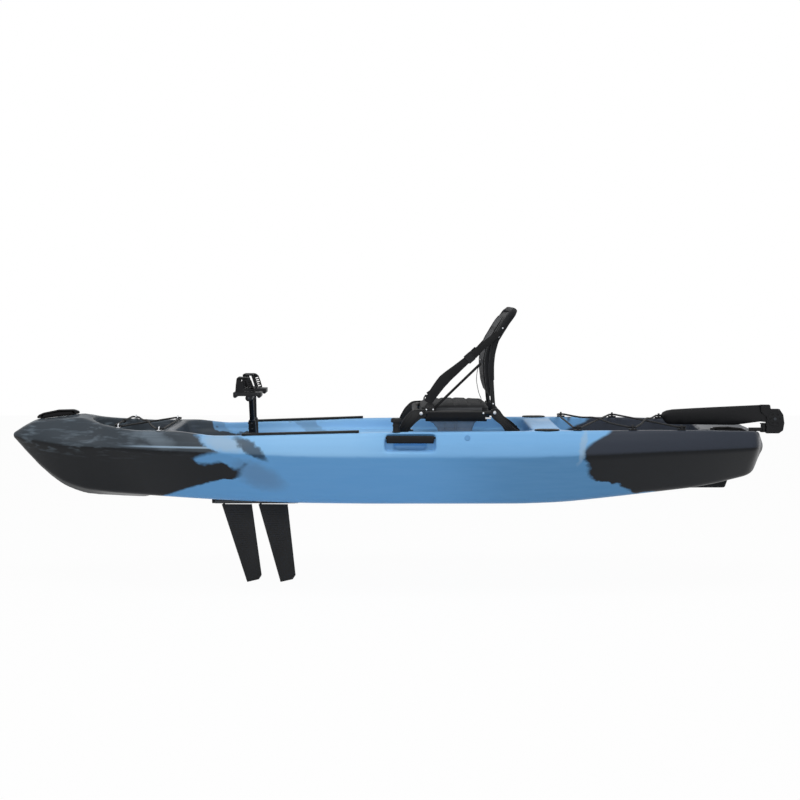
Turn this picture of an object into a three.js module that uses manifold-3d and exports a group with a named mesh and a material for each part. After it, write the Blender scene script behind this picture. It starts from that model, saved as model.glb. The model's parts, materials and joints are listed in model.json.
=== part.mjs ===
// A sit-on-top pedal kayak: rotomoulded hull, fin drive with foot pedals, framed seat, kick-up rudder.
// Units are millimetres. X runs from bow (-) to stern (+), Y from port (-) to starboard (+), Z up.
// The origin is on the flat of the hull bottom, amidships.
import * as THREE from "three";
import { mergeVertices } from "three/addons/utils/BufferGeometryUtils.js";
import Module from "manifold-3d";

const wasm = await Module();
wasm.setup();

// Fits shared by all pieces
const seatGap = 0.3;
const pinFit = 0.3;
const overrun = 60;
const quarterTurn = Math.PI / 2;

// Hull
const hullLength = 3214;
const hullBeam = 840;
const hullHeight = 362;
const halfLength = hullLength / 2;
const halfBeam = hullBeam / 2;
const rimWidth = 38;
const wallDraft = 26;
const endDraft = 20;
const footDraft = 95;
// Each row is one frame of the hull: place along the half length, then keel height, and the half breadth
// and height of bilge, chine, shoulder and gunwale, then deck height on the centreline.
// Breadths are shares of the half beam, heights are shares of the hull height.
const frameShares = [
  [-1.0012, 0.713, 0.014, 0.718, 0.029, 0.738, 0.024, 0.751, 0.017, 0.762, 0.765],
  [-0.989, 0.652, 0.029, 0.671, 0.076, 0.724, 0.069, 0.762, 0.048, 0.793, 0.801],
  [-0.971, 0.558, 0.038, 0.586, 0.133, 0.713, 0.119, 0.79, 0.081, 0.837, 0.854],
  [-0.937, 0.392, 0.052, 0.436, 0.219, 0.702, 0.19, 0.818, 0.119, 0.914, 0.934],
  [-0.905, 0.26, 0.076, 0.318, 0.295, 0.696, 0.248, 0.82, 0.157, 0.928, 0.95],
  [-0.871, 0.146, 0.105, 0.221, 0.369, 0.691, 0.29, 0.807, 0.19, 0.942, 0.967],
  [-0.839, 0.083, 0.133, 0.166, 0.433, 0.685, 0.314, 0.793, 0.219, 0.956, 0.983],
  [-0.807, 0.039, 0.167, 0.127, 0.495, 0.682, 0.376, 0.765, 0.252, 0.967, 1],
  [-0.778, 0.028, 0.195, 0.11, 0.548, 0.677, 0.452, 0.749, 0.305, 0.934, 0.953],
  [-0.74, 0.019, 0.229, 0.094, 0.614, 0.671, 0.567, 0.724, 0.476, 0.903, 0.903],
  [-0.672, 0.006, 0.267, 0.075, 0.714, 0.657, 0.69, 0.751, 0.652, 0.867, 0.867],
  [-0.647, 0.003, 0.281, 0.069, 0.743, 0.652, 0.714, 0.751, 0.679, 0.859, 0.859],
  [-0.64, 0.022, 0.286, 0.066, 0.75, 0.652, 0.721, 0.751, 0.686, 0.859, 0.859],
  [-0.525, 0.008, 0.424, 0.05, 0.862, 0.641, 0.824, 0.74, 0.767, 0.856, 0.856],
  [-0.454, 0.004, 0.488, 0.039, 0.91, 0.635, 0.871, 0.724, 0.814, 0.809, 0.809],
  [-0.373, 0, 0.543, 0.028, 0.948, 0.624, 0.914, 0.718, 0.855, 0.817, 0.817],
  [-0.235, 0, 0.583, 0.008, 0.986, 0.591, 0.957, 0.718, 0.898, 0.835, 0.835],
  [-0.062, 0, 0.6, 0, 1, 0.577, 0.976, 0.724, 0.917, 0.858, 0.858],
  [0.149, 0, 0.6, 0, 1, 0.575, 0.976, 0.727, 0.921, 0.867, 0.867],
  [0.348, 0, 0.59, 0, 0.995, 0.577, 0.971, 0.729, 0.912, 0.873, 0.873],
  [0.454, 0.006, 0.567, 0.017, 0.981, 0.588, 0.957, 0.735, 0.893, 0.876, 0.876],
  [0.56, 0.025, 0.533, 0.064, 0.955, 0.605, 0.929, 0.743, 0.86, 0.876, 0.876],
  [0.672, 0.066, 0.488, 0.116, 0.9, 0.627, 0.871, 0.751, 0.807, 0.876, 0.876],
  [0.797, 0.119, 0.414, 0.171, 0.819, 0.641, 0.786, 0.757, 0.729, 0.867, 0.845],
  [0.856, 0.16, 0.38, 0.214, 0.765, 0.645, 0.732, 0.757, 0.68, 0.861, 0.792],
  [0.933, 0.249, 0.325, 0.288, 0.681, 0.652, 0.648, 0.751, 0.6, 0.848, 0.778],
  [0.9459, 0.268, 0.305, 0.307, 0.662, 0.653, 0.63, 0.75, 0.582, 0.843, 0.776],
  [0.9558, 0.29, 0.27, 0.328, 0.607, 0.654, 0.576, 0.747, 0.53, 0.836, 0.774],
  [0.9633, 0.318, 0.222, 0.352, 0.512, 0.654, 0.482, 0.742, 0.438, 0.826, 0.772],
  [0.9708, 0.362, 0.16, 0.392, 0.381, 0.65, 0.354, 0.732, 0.314, 0.81, 0.77],
  [0.9801, 0.432, 0.1, 0.455, 0.238, 0.642, 0.218, 0.712, 0.188, 0.785, 0.768],
  [0.9894, 0.5, 0.052, 0.518, 0.119, 0.628, 0.107, 0.672, 0.09, 0.715, 0.71],
  [0.9956, 0.54, 0.026, 0.553, 0.057, 0.615, 0.05, 0.64, 0.042, 0.665, 0.66],
  [0.9988, 0.565, 0.012, 0.572, 0.024, 0.605, 0.021, 0.62, 0.017, 0.635, 0.63],
];

// Places along the hull follow its frames, so they are shares of the half length too
const placeShares = {
  bowGrip: -0.9359, bowWell: [-0.7853, -0.5787], bowEyes: [-0.6963, -0.5862], footwell: -0.557,
    track: -0.3709,
  sideGrip: -0.0037, steering: 0.0212, sidePlug: 0.2004, seatWell: 0.3485, cockpit: 0.3734, rodCap: 0.3721,
  tankWell: [0.4449, 0.8307], padEyes: [0.481, 0.6223, 0.7498], skeg: 0.766, sternGrip: 0.8587,
};
const places = {};
for (const [name, shares] of Object.entries(placeShares)) {
  places[name] = Array.isArray(shares) ? shares.map((share) => share * halfLength) : shares * halfLength;
}
const withRear = (piece) => ({ ...piece, rear: piece.front + piece.length });

// Wells moulded into the deck: each from front to rear at the rim, down to its floor
const bowWell = { front: places.bowWell[0], rear: places.bowWell[1], floor: 215, corner: 40 };
const footwell = withRear({ front: places.footwell, length: 612, floor: 60, corner: 60 });
const seatWell = { rear: places.seatWell, floor: 130, ledge: 151 };
const ledgeHeight = 262;
const cockpitRear = places.cockpit;
const tankWell = { front: places.tankWell[0], rear: places.tankWell[1], floor: 200, corner: 50 };
const skeg = withRear({ front: places.skeg, length: 226, bottom: 40, halfWidth: 15, slope: 60 });

// Drive well through the hull bottom, with a raised pad and a notch at each end for the drive's tongues.
// Places in the drive are measured along the hull from the crank axis.
const driveSetBack = 322;
const driveX = footwell.front + driveSetBack;
const padHeight = 68;
const padHalfWidth = 74;
const slot = { front: -191, rear: 197, halfWidth: 20 };
const drumWell = { front: -99, rear: 99, halfWidth: 44 };
const tongue = { reach: 27, root: 22, halfWidth: 15, bottom: 44, top: 67.6, play: 1.5 };

// Carry handles on bow and stern deck, and swinging grips in a recess on each side
const bowGrip = withRear({ front: places.bowGrip, length: 178, bar: 15, rise: 12, foot: 24 });
const sternGrip = withRear({ front: places.sternGrip, length: 150, bar: 12, rise: 7, foot: 22 });
const gripShape = { halfWidth: 14, seat: 0.6, pocket: 34, pocketDepth: 26, flat: 24 };
const heightShares = { grip: 0.826, recess: [0.652, 0.8453], plug: 0.8039, yaw: [0.7846, 0.8674],
  kick: 0.9309 };
const [recessLow, recessHigh] = heightShares.recess.map((share) => share * hullHeight);
const [yawLow, yawHigh] = heightShares.yaw.map((share) => share * hullHeight);
const sideGrip = withRear({
  front: places.sideGrip, length: 192, top: heightShares.grip * hullHeight, height: 31, thickness: 17,
    pin: 4.5, pinReach: 7,
});
const sideRecess = { margin: 7, bottom: recessLow, top: recessHigh, depth: 44 };

// Deck fittings
const track = withRear({ front: places.track, length: 478, width: 24, height: 9, lip: 6, wall: 2.5 });
const rodCap = withRear({
  front: places.rodCap, length: 102, halfWidth: 27, height: 5, plug: 20, plugDepth: 24, inset: 36,
});
const bowEye = { base: 3, halfWidth: 15, halfLength: 9, wire: 3, legs: 12, shoulder: 8, height: 15 };
const bowEyesAt = places.bowEyes;
const padEye = { halfLength: 17, halfWidth: 10, base: 5, ear: 7, hole: 6.2 };
const padEyesAt = places.padEyes;
const fittingInset = 19;
const bungee = { radius: 4, thread: 7.6, padThread: 11.5, turn: 16, hump: 11, knot: 9, knotGap: 40 };
const sidePlug = {
  x: places.sidePlug, z: heightShares.plug * hullHeight,
  head: 12, headDepth: 4, proud: 1.5, shank: 8, shankDepth: 16,
};

// Steering lever on the port gunwale, linked to the rudder
const steering = { x: places.steering, radius: 17, height: 40, stem: 5, stemDepth: 19, cap: 23,
  capHeight: 18 };
const steeringLever = { length: 46, width: 12, thickness: 8 };

// Fin drive
const crankAxis = { x: 0, z: 90 };
const web = { halfWidth: 7, bottom: 5, top: 60, end: 4 };
const tower = { halfWidth: 34, topHalfWidth: 16, top: 166 };
const liftHandle = { inner: 92, outer: 104, halfWidth: 8 };
const crankAxle = { radius: 7, reach: 40 };
const drum = { radius: 66, groove: 56, inner: 9.5, split: 19.5, outer: 30 };
const crankBar = { width: 30, thickness: 20, y: 25, share: 0.7 };
const crankLength = 348;
const crankLean = { x: -10, y: 50 };
const crankArm = { radius: 10, socket: 56, boss: 13, bossHalfWidth: 9 };
const pedalAxle = { radius: 6, reach: 104 };
const pedal = { length: 116, ahead: 65, width: 92, thickness: 15, rise: 8, barrel: 14, knob: 8, sideGap: 4 };
const toeCage = { height: 62, wall: 4, bridge: 7 };
const mastAxle = { z: -16, radius: 6, lug: 12, play: 0.6, lugLength: 12 };
const mast = { hub: 13, rod: 4.5, rodStart: 8, setBack: 8, share: 0.62 };
const fin = { top: -32, tip: -370, tipTrail: -354, thickness: 15, trail: 3, corner: 14 };
const frontFin = { hubFront: -173, hubRear: -12, rootLead: -145, rootTrail: -15, tipLead: -38, tipTrail: 27 };
const rearFin = { hubFront: 12, hubRear: 171, rootLead: 13, rootTrail: 139, tipLead: 106, tipTrail: 173 };
const idler = { radius: 18, inner: 9.5, outer: 17, pin: 4, z: 34, inset: 48 };
const cable = { radius: 1.6, y: 14.3 };
const latch = { radius: 15, height: 8, stem: 5, stemDepth: 22, finger: 31, fingerWidth: 14, setBack: 18 };
const latchGrip = { height: 11, halfLength: 12, halfWidth: 3 };

// Seat: places are measured along the hull from the cockpit's rear wall
const rail = { front: -482, rear: -154, inset: 99, z: 380, radius: 11 };
const seatBar = { width: 30, thickness: 6, bottom: 344, inset: 52 };
const cushion = { front: -466, rear: -178, sideGap: 17, height: 68, channels: 3, channelDepth: 6, edge: 26 };
const hinge = { x: -160, z: 383, pin: 6, head: 9, headHeight: 4 };
const leg = { thickness: 6, gap: 0.4, foot: 5, footIn: 12, footOut: 16 };
const frontBolt = { x: -464, z: 380, radius: 5, reach: 20 };
const backTube = { radius: 9, sideGap: 8, corner: 46, bend: 6 };
const backRise = 419;
const backLean = 82;
const backPad = { bottom: 63, top: 408, thickness: 42, rearProud: 5 };
const strap = { width: 38, thickness: 2.6, topShare: 0.73, lowX: -428, lowZ: 432 };
const strapLug = { thickness: 4, height: 34, length: 40 };

// Rudder, stowed forward on the stern deck: places are measured from its yaw axis, over the hull's end
const yawAxis = { bottom: yawLow, top: yawHigh, radius: 11, pin: 5 };
const rudderPivot = { x: 47, z: heightShares.kick * hullHeight, bolt: 5, head: 8, headHeight: 4 };
const rudderBase = { front: -67, rear: -36, halfWidth: 34, thickness: 5, arm: 8, seatMargin: 6, cutBack: 30 };
const cheek = {
  inner: 7.5, outer: 12.5, plate: 4, plateFront: 12, plateRear: 18,
  skirt: 5, front: 35, rear: 41, above: 42, corner: 18, horn: 60,
};
const blade = { thickness: 12, root: 33, neck: 54, neckHeight: 28, length: 487, chord: 88 };

const finishes = {
  hull_plastic: [0x5d8fc0, 0.45, 0], black_rubber: [0x18191b, 0.8, 0], black_plastic: [0x1d1e21, 0.5, 0],
  stainless: [0xb9bcc0, 0.25, 1], black_metal: [0x16171a, 0.4, 0.6], red_metal: [0xc2214e, 0.35, 0.8],
  fin_plastic: [0x23252a, 0.55, 0], seat_fabric: [0x1b1c1f, 0.95, 0], webbing: [0x121315, 0.9, 0],
  shock_cord: [0x17181a, 0.85, 0], blade_plastic: [0x26282c, 0.5, 0],
};
const surfaces = {};
for (const [name, [color, roughness, metalness]] of Object.entries(finishes)) {
  surfaces[name] = () => new THREE.MeshStandardMaterial({ color, roughness, metalness });
}

const kayak = new THREE.Group();

function subassembly(x) {
  const group = new THREE.Group();
  group.position.x = x;
  kayak.add(group);
  return group;
}

function place(name, shape, finish, group = kayak) {
  const mesh = new THREE.Mesh(geometryOf(shape), surfaces[finish]());
  mesh.name = name;
  group.add(mesh);
}

function solid(geometry) {
  const bare = geometry.index ? geometry.toNonIndexed() : geometry.clone();
  for (const name of Object.keys(bare.attributes)) if (name !== "position") bare.deleteAttribute(name);
  const merged = mergeVertices(bare, 1e-3);
  const triVerts = [];
  const index = merged.index.array;
  for (let i = 0; i < index.length; i += 3) {
    const [a, b, c] = [index[i], index[i + 1], index[i + 2]];
    if (a !== b && b !== c && a !== c) triVerts.push(a, b, c);
  }
  const vertProperties = Float32Array.from(merged.attributes.position.array);
  return new wasm.Manifold(new wasm.Mesh({ numProp: 3, vertProperties,
    triVerts: Uint32Array.from(triVerts) }));
}

function geometryOf(manifold) {
  const mesh = manifold.getMesh();
  const geometry = new THREE.BufferGeometry();
  geometry.setAttribute("position", new THREE.BufferAttribute(Float32Array.from(mesh.vertProperties), 3));
  geometry.setIndex(Array.from(mesh.triVerts));
  return geometry;
}

const join = (first, ...rest) => rest.reduce((sum, next) => sum.add(next), first);
const cut = (first, ...rest) => rest.reduce((sum, next) => sum.subtract(next), first);
const mirrored = (manifold) => manifold.mirror([0, 1, 0]);

// A block between two opposite corners
function block(x0, x1, y0, y1, z0, z1) {
  const geometry = new THREE.BoxGeometry(x1 - x0, y1 - y0, z1 - z0);
  return solid(geometry.translate((x0 + x1) / 2, (y0 + y1) / 2, (z0 + z1) / 2));
}

// A round bar between two points
function bar(radius, from, to, sides = 16, endRadius = radius) {
  const start = new THREE.Vector3(...from);
  const along = new THREE.Vector3(...to).sub(start);
  const geometry = new THREE.CylinderGeometry(endRadius, radius, along.length(), sides);
  const turn = new THREE.Quaternion().setFromUnitVectors(new THREE.Vector3(0, 1, 0),
    along.clone().normalize());
  geometry.applyQuaternion(turn);
  const middle = start.addScaledVector(along, 0.5);
  return solid(geometry.translate(middle.x, middle.y, middle.z));
}

// A plate whose outline lies in the XZ plane, from y0 to y1; holes are [x, z, radius]
function plate(outline, y0, y1, holes = []) {
  const shape = Array.isArray(outline) ? new THREE.Shape(outline.map(([x, z]) => new THREE.Vector2(x,
    z))) : outline;
  for (const [x, z, radius] of holes) shape.holes.push(new THREE.Path().absarc(x, z, radius, 0,
    4 * quarterTurn));
  const geometry = new THREE.ExtrudeGeometry(shape, { depth: y1 - y0, bevelEnabled: false,
    curveSegments: 8 });
  return solid(geometry.rotateX(quarterTurn).translate(0, y1, 0));
}

// A closed body lofted through rings that all have the same number of points
function loft(rings) {
  const count = rings[0].length;
  const points = rings.flat();
  const middle = (ring) => ring.reduce((sum, p) => sum.map((v, k) => v + p[k] / count), [0, 0, 0]);
  const first = points.length;
  const last = first + 1;
  points.push(middle(rings[0]), middle(rings[rings.length - 1]));
  const faces = [];
  const lastRing = (rings.length - 1) * count;
  for (let i = 0; i < count; i++) {
    const j = (i + 1) % count;
    for (let r = 0; r < rings.length - 1; r++) {
      const [a, b] = [r * count + i, r * count + j];
      faces.push(a, b, b + count, a, b + count, a + count);
    }
    faces.push(first, j, i, last, lastRing + i, lastRing + j);
  }
  return closed(points, faces);
}

// Turns points and faces into a solid with its faces pointing out
function closed(points, faces) {
  let volume = 0;
  const [p, q, r] = [new THREE.Vector3(), new THREE.Vector3(), new THREE.Vector3()];
  for (let i = 0; i < faces.length; i += 3) {
    p.set(...points[faces[i]]);
    q.set(...points[faces[i + 1]]);
    r.set(...points[faces[i + 2]]);
    volume += p.dot(q.cross(r));
  }
  const geometry = new THREE.BufferGeometry();
  geometry.setAttribute("position", new THREE.Float32BufferAttribute(points.flat(), 3));
  geometry.setIndex(volume < 0 ? faces.slice().reverse() : faces);
  return solid(geometry);
}

// A round tube along a smooth curve through the given points
function tube(points, radius, steps, sides = 8) {
  const path = new THREE.CatmullRomCurve3(points.map((p) => new THREE.Vector3(...p)), false, "centripetal");
  const section = new THREE.Shape().absarc(0, 0, radius, 0, 4 * quarterTurn);
  const options = { steps, bevelEnabled: false, extrudePath: path, curveSegments: sides };
  return solid(new THREE.ExtrudeGeometry(section, options));
}

function inFrame(manifold, matrix) {
  const geometry = geometryOf(manifold);
  return solid(geometry.applyMatrix4(matrix));
}

const alongHull = (manifold, x) => inFrame(manifold, new THREE.Matrix4().makeTranslation(x, 0, 0));

// Hull frames in millimetres
const hullFrames = frameShares.map((row) => {
  const [x, keel, by, bz, cy, cz, sy, sz, gy, gz, deck] = row;
  const breadths = [by, cy, sy, gy].map((share) => share * halfBeam);
  const heights = [bz, cz, sz, gz].map((share) => share * hullHeight);
  return { x: x * halfLength, keel: keel * hullHeight, deck: deck * hullHeight, breadths, heights };
});

// The hull at any place along it, straight between its frames
function hullAt(x) {
  let i = hullFrames.findIndex((frame) => frame.x >= x);
  i = Math.max(1, i < 0 ? hullFrames.length - 1 : i);
  const [a, b] = [hullFrames[i - 1], hullFrames[i]];
  const t = (x - a.x) / (b.x - a.x);
  const mix = (p, q) => p + (q - p) * t;
  return {
    gunwaleY: mix(a.breadths[3], b.breadths[3]), gunwaleZ: mix(a.heights[3], b.heights[3]),
    shoulderY: mix(a.breadths[2], b.breadths[2]), shoulderZ: mix(a.heights[2], b.heights[2]),
    deck: mix(a.deck, b.deck), keel: mix(a.keel, b.keel), chineY: mix(a.breadths[1], b.breadths[1]),
    slope: Math.atan2(b.heights[3] - a.heights[3], b.x - a.x),
  };
}

// The frame of something that sits on the gunwale rim
function onRim(x, side, inset) {
  const at = hullAt(x);
  const turn = new THREE.Matrix4().makeRotationY(-at.slope);
  return turn.setPosition(x, side * (at.gunwaleY - inset), at.gunwaleZ + seatGap);
}

// A well in plan: sides that follow the gunwale, with its corners cut off
function wellRing(well, halfWidthAt, z, shrink, endShrink = shrink) {
  const [front, rear] = [well.front + endShrink, well.rear - endShrink];
  const stops = [front, front + well.corner * 0.35, front + well.corner];
  const inner = hullFrames.map((frame) => frame.x);
  stops.push(...inner.filter((x) => x > well.front + well.corner * 2 && x < well.rear - well.corner * 2));
  stops.push(rear - well.corner, rear - well.corner * 0.35, rear);
  const cornerCut = (x) => {
    const depth = Math.min(x - front, rear - x);
    if (depth >= well.corner * 0.99) return 0;
    return depth > well.corner * 0.2 ? well.corner * 0.3 : well.corner;
  };
  const halfWidths = stops.map((x) => halfWidthAt(x) - shrink - cornerCut(x));
  const right = stops.map((x, k) => [x, halfWidths[k], z]);
  return [...right, ...right.slice().reverse().map(([x, y, height]) => [x, -y, height])];
}

const rimInner = (x) => hullAt(x).gunwaleY - rimWidth;
const rimTop = hullHeight + overrun;
const cockpitSide = rimInner(cockpitRear + (rail.front + rail.rear) / 2) - wallDraft / 3;

function wellCutter(well, floorInset, endInset) {
  const atRim = hullAt(well.rear).gunwaleZ;
  const top = wellRing(well, rimInner, rimTop, 0);
  const rim = wellRing(well, rimInner, atRim, 0);
  const floor = wellRing(well, rimInner, well.floor, floorInset, endInset);
  return loft([floor, rim, top]);
}

function hullShell() {
  const rings = hullFrames.map(({ x, keel, deck, breadths, heights }) => {
    const side = breadths.map((y, k) => [x, y, heights[k]]);
    const port = side.slice().reverse().map(([px, y, z]) => [px, -y, z]);
    return [[x, 0, keel], ...side, [x, 0, deck], ...port];
  });
  return loft(rings);
}

// The straight line along the deck that a carry handle stands on
function deckLine(grip) {
  const [frontDeck, rearDeck] = [hullAt(grip.front).deck, hullAt(grip.rear).deck];
  const slope = (rearDeck - frontDeck) / (grip.rear - grip.front);
  return (x) => frontDeck + slope * (x - grip.front);
}

// A finger pocket in the deck below the handle, and a narrow flat strip for its feet
function gripCutters(grip) {
  const deckAt = deckLine(grip);
  const [front, rear] = [grip.front + grip.foot, grip.rear - grip.foot];
  const slant = gripShape.pocketDepth / 2;
  const pocket = plate([
    [front + slant, deckAt(front) - gripShape.pocketDepth], [rear - slant,
      deckAt(rear) - gripShape.pocketDepth],
    [rear, deckAt(rear) + overrun], [front, deckAt(front) + overrun],
  ], -gripShape.pocket, gripShape.pocket);
  const [start, end] = [grip.front - gripShape.halfWidth / 2, grip.rear + gripShape.halfWidth / 2];
  const strip = plate([
    [start, deckAt(start)], [end, deckAt(end)], [end, deckAt(end) + overrun],
      [start, deckAt(start) + overrun],
  ], -gripShape.flat, gripShape.flat);
  return join(pocket, strip);
}

const sideWall = hullAt((sideGrip.front + sideGrip.rear) / 2).chineY - sideRecess.depth;
const gripPin = {
  y: sideWall + seatGap + sideGrip.thickness / 2, z: sideGrip.top - sideGrip.thickness / 2,
};

// The recess on the starboard side, with a hole in each end wall for the grip's pins
function sideCutter() {
  const [front, rear] = [sideGrip.front - sideRecess.margin, sideGrip.rear + sideRecess.margin];
  const recess = block(front, rear, sideWall, halfBeam + overrun, sideRecess.bottom, sideRecess.top);
  const reach = sideGrip.pinReach + sideRecess.margin + pinFit;
  const ends = [sideGrip.front - reach, sideGrip.rear + reach].map((x) => [x, gripPin.y, gripPin.z]);
  return join(recess, bar(sideGrip.pin + pinFit, ends[0], ends[1], 12));
}

// The round plug in the port side, square to the sloping upper band
const plugFace = (() => {
  const at = hullAt(sidePlug.x);
  const y = at.gunwaleY + (at.gunwaleZ - sidePlug.z) *
    (at.shoulderY - at.gunwaleY) / (at.gunwaleZ - at.shoulderZ);
  const slope = Math.atan2(at.gunwaleZ - at.shoulderZ, at.shoulderY - at.gunwaleY);
  return (out) => [sidePlug.x, -(y + Math.sin(slope) * out), sidePlug.z + Math.cos(slope) * out];
})();

function plugCutter() {
  const seat = bar(sidePlug.head + pinFit, plugFace(-sidePlug.headDepth), plugFace(overrun), 20);
  const depth = sidePlug.headDepth + sidePlug.shankDepth + seatGap;
  return join(seat, bar(sidePlug.shank + pinFit, plugFace(-depth), plugFace(overrun), 12));
}

const latchesAt = [slot.front - tongue.reach - latch.setBack, slot.rear + tongue.reach + latch.setBack];

function driveWellCutters() {
  const below = -overrun;
  const long = block(slot.front, slot.rear, -slot.halfWidth, slot.halfWidth, below, rimTop);
  const wide = block(drumWell.front, drumWell.rear, -drumWell.halfWidth, drumWell.halfWidth, below, rimTop);
  const half = tongue.halfWidth + tongue.play;
  const reach = tongue.reach + tongue.play;
  const notches = block(slot.front - reach, slot.rear + reach, -half, half, tongue.bottom, rimTop);
  const stems = latchesAt.map((x) => bar(
    latch.stem + pinFit, [x, 0, padHeight - latch.stemDepth - seatGap], [x, 0, padHeight + overrun], 12,
  ));
  return [long, wide, notches, ...stems].map((shape) => alongHull(shape, driveX));
}

function rodHole(side) {
  const x = (rodCap.front + rodCap.rear) / 2;
  const at = hullAt(x);
  const y = side * (at.gunwaleY - rodCap.inset);
  return bar(rodCap.plug + pinFit, [x, y, at.gunwaleZ - rodCap.plugDepth - pinFit], [x, y, rimTop], 20);
}

const rudderSeatZ = hullAt(halfLength + rudderBase.rear).deck;

function makeHull() {
  const cockpit = { ...footwell, rear: cockpitRear, floor: ledgeHeight };
  const ledges = wellCutter(cockpit, wallDraft / 3, endDraft / 2);
  const feet = wellCutter(footwell, footDraft, endDraft);
  const pad = block(footwell.front - overrun, footwell.rear + overrun, -padHalfWidth, padHalfWidth, 0,
    padHeight);
  const seatHalf = cockpitSide - seatWell.ledge;
  const middle = block(footwell.rear - overrun, seatWell.rear, -seatHalf, seatHalf, seatWell.floor, rimTop);
  const skegOutline = [
    [skeg.front, skeg.bottom], [skeg.rear - skeg.slope * 0.2, skeg.bottom],
      [skeg.rear, skeg.bottom + skeg.slope * 0.6],
    [skeg.rear, skeg.bottom + skeg.slope], [skeg.front, skeg.bottom + skeg.slope],
    [skeg.front - skeg.slope * 4, hullAt(skeg.front - skeg.slope * 4).keel + seatGap],
  ];
  const shell = join(hullShell(), plate(skegOutline, -skeg.halfWidth, skeg.halfWidth));
  const margin = rudderBase.seatMargin;
  const rudderSeat = block(
    halfLength + rudderBase.front - margin, halfLength + overrun,
    -rudderBase.halfWidth - margin, rudderBase.halfWidth + margin, rudderSeatZ, rimTop,
  );
  return cut(
    shell, wellCutter(bowWell, wallDraft / 2, endDraft), ledges, cut(feet, pad), middle,
    wellCutter(tankWell, wallDraft, endDraft), gripCutters(bowGrip), gripCutters(sternGrip), rudderSeat,
    sideCutter(), mirrored(sideCutter()), plugCutter(), rodHole(1), rodHole(-1), ...driveWellCutters(),
  );
}

place("hull", makeHull(), "hull_plastic");

// A flat piece whose outline lies in plan, from z0 to z1
function slab(outline, z0, z1) {
  const shape = new THREE.Shape(outline.map(([x, y]) => new THREE.Vector2(x, y)));
  const geometry = new THREE.ExtrudeGeometry(shape, { depth: z1 - z0, bevelEnabled: false });
  return solid(geometry.translate(0, 0, z0));
}

// A rectangle in plan with its corners cut off
function softRectangle(x0, x1, y0, y1, corner) {
  return [
    [x0 + corner, y0], [x1 - corner, y0], [x1, y0 + corner], [x1, y1 - corner],
    [x1 - corner, y1], [x0 + corner, y1], [x0, y1 - corner], [x0, y0 + corner],
  ];
}

// A curve that passes straight through its points, with one mitred section of tube at each
class Route extends THREE.Curve {
  constructor(points) {
    super();
    this.points = points.map((p) => new THREE.Vector3(...p));
  }

  getUtoTmapping(u) {
    return u;
  }

  getPoint(t, target = new THREE.Vector3()) {
    return target.copy(this.points[Math.round(t * (this.points.length - 1))]);
  }

  getTangent(t, target = new THREE.Vector3()) {
    const last = this.points.length - 1;
    const i = Math.round(t * last);
    const here = this.points[i];
    const arriving = here.clone().sub(this.points[Math.max(i - 1, 0)]).normalize();
    const leaving = this.points[Math.min(i + 1, last)].clone().sub(here).normalize();
    return target.copy(arriving).add(leaving).normalize();
  }
}

function cord(points, radius) {
  const section = new THREE.Shape().absarc(0, 0, radius, 0, 4 * quarterTurn);
  const options = { steps: points.length - 1, bevelEnabled: false, extrudePath: new Route(points),
    curveSegments: 6 };
  return solid(new THREE.ExtrudeGeometry(section, options));
}

// Carry handle: an arched bar whose two feet stand on the deck line
function carryGrip(grip) {
  const deckAt = deckLine(grip);
  const length = grip.rear - grip.front;
  const top = grip.bar + grip.rise;
  const lower = [[0, 0], [grip.foot, 0], [grip.foot * 1.3, grip.rise * 0.7], [length / 2, grip.rise]];
  const upper = [[0, grip.bar * 0.6], [grip.foot * 0.3, grip.bar], [grip.foot, grip.bar + grip.rise * 0.5]];
  const across = (points) => points.map(([s, h]) => [length - s, h]).reverse();
  const outline = [...lower, ...across(lower.slice(0, 3)), ...across(upper).reverse(), [length / 2, top],
    ...upper.slice().reverse()];
  const placed = outline.map(([s, h]) => [grip.front + s, deckAt(grip.front + s) + gripShape.seat + h]);
  return plate(placed, -gripShape.halfWidth, gripShape.halfWidth);
}

place("bow_grip", carryGrip(bowGrip), "black_rubber");
place("stern_grip", carryGrip(sternGrip), "black_rubber");

// Side grip: a rounded bar that hangs from two pins and swings out of its recess
function swingingGrip() {
  const low = gripPin.z - (sideGrip.height - sideGrip.thickness);
  const radius = sideGrip.thickness / 2;
  const ends = (z) => [[sideGrip.front, gripPin.y, z], [sideGrip.rear, gripPin.y, z]];
  const body = block(sideGrip.front, sideGrip.rear, gripPin.y - radius, gripPin.y + radius, low, gripPin.z);
  const pins = bar(
    sideGrip.pin, [sideGrip.front - sideRecess.margin - sideGrip.pinReach, gripPin.y, gripPin.z],
    [sideGrip.rear + sideRecess.margin + sideGrip.pinReach, gripPin.y, gripPin.z], 12,
  );
  return join(bar(radius, ...ends(gripPin.z), 16), bar(radius, ...ends(low), 16), body, pins);
}

place("right_grip", swingingGrip(), "black_plastic");
place("left_grip", mirrored(swingingGrip()), "black_plastic");

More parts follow.
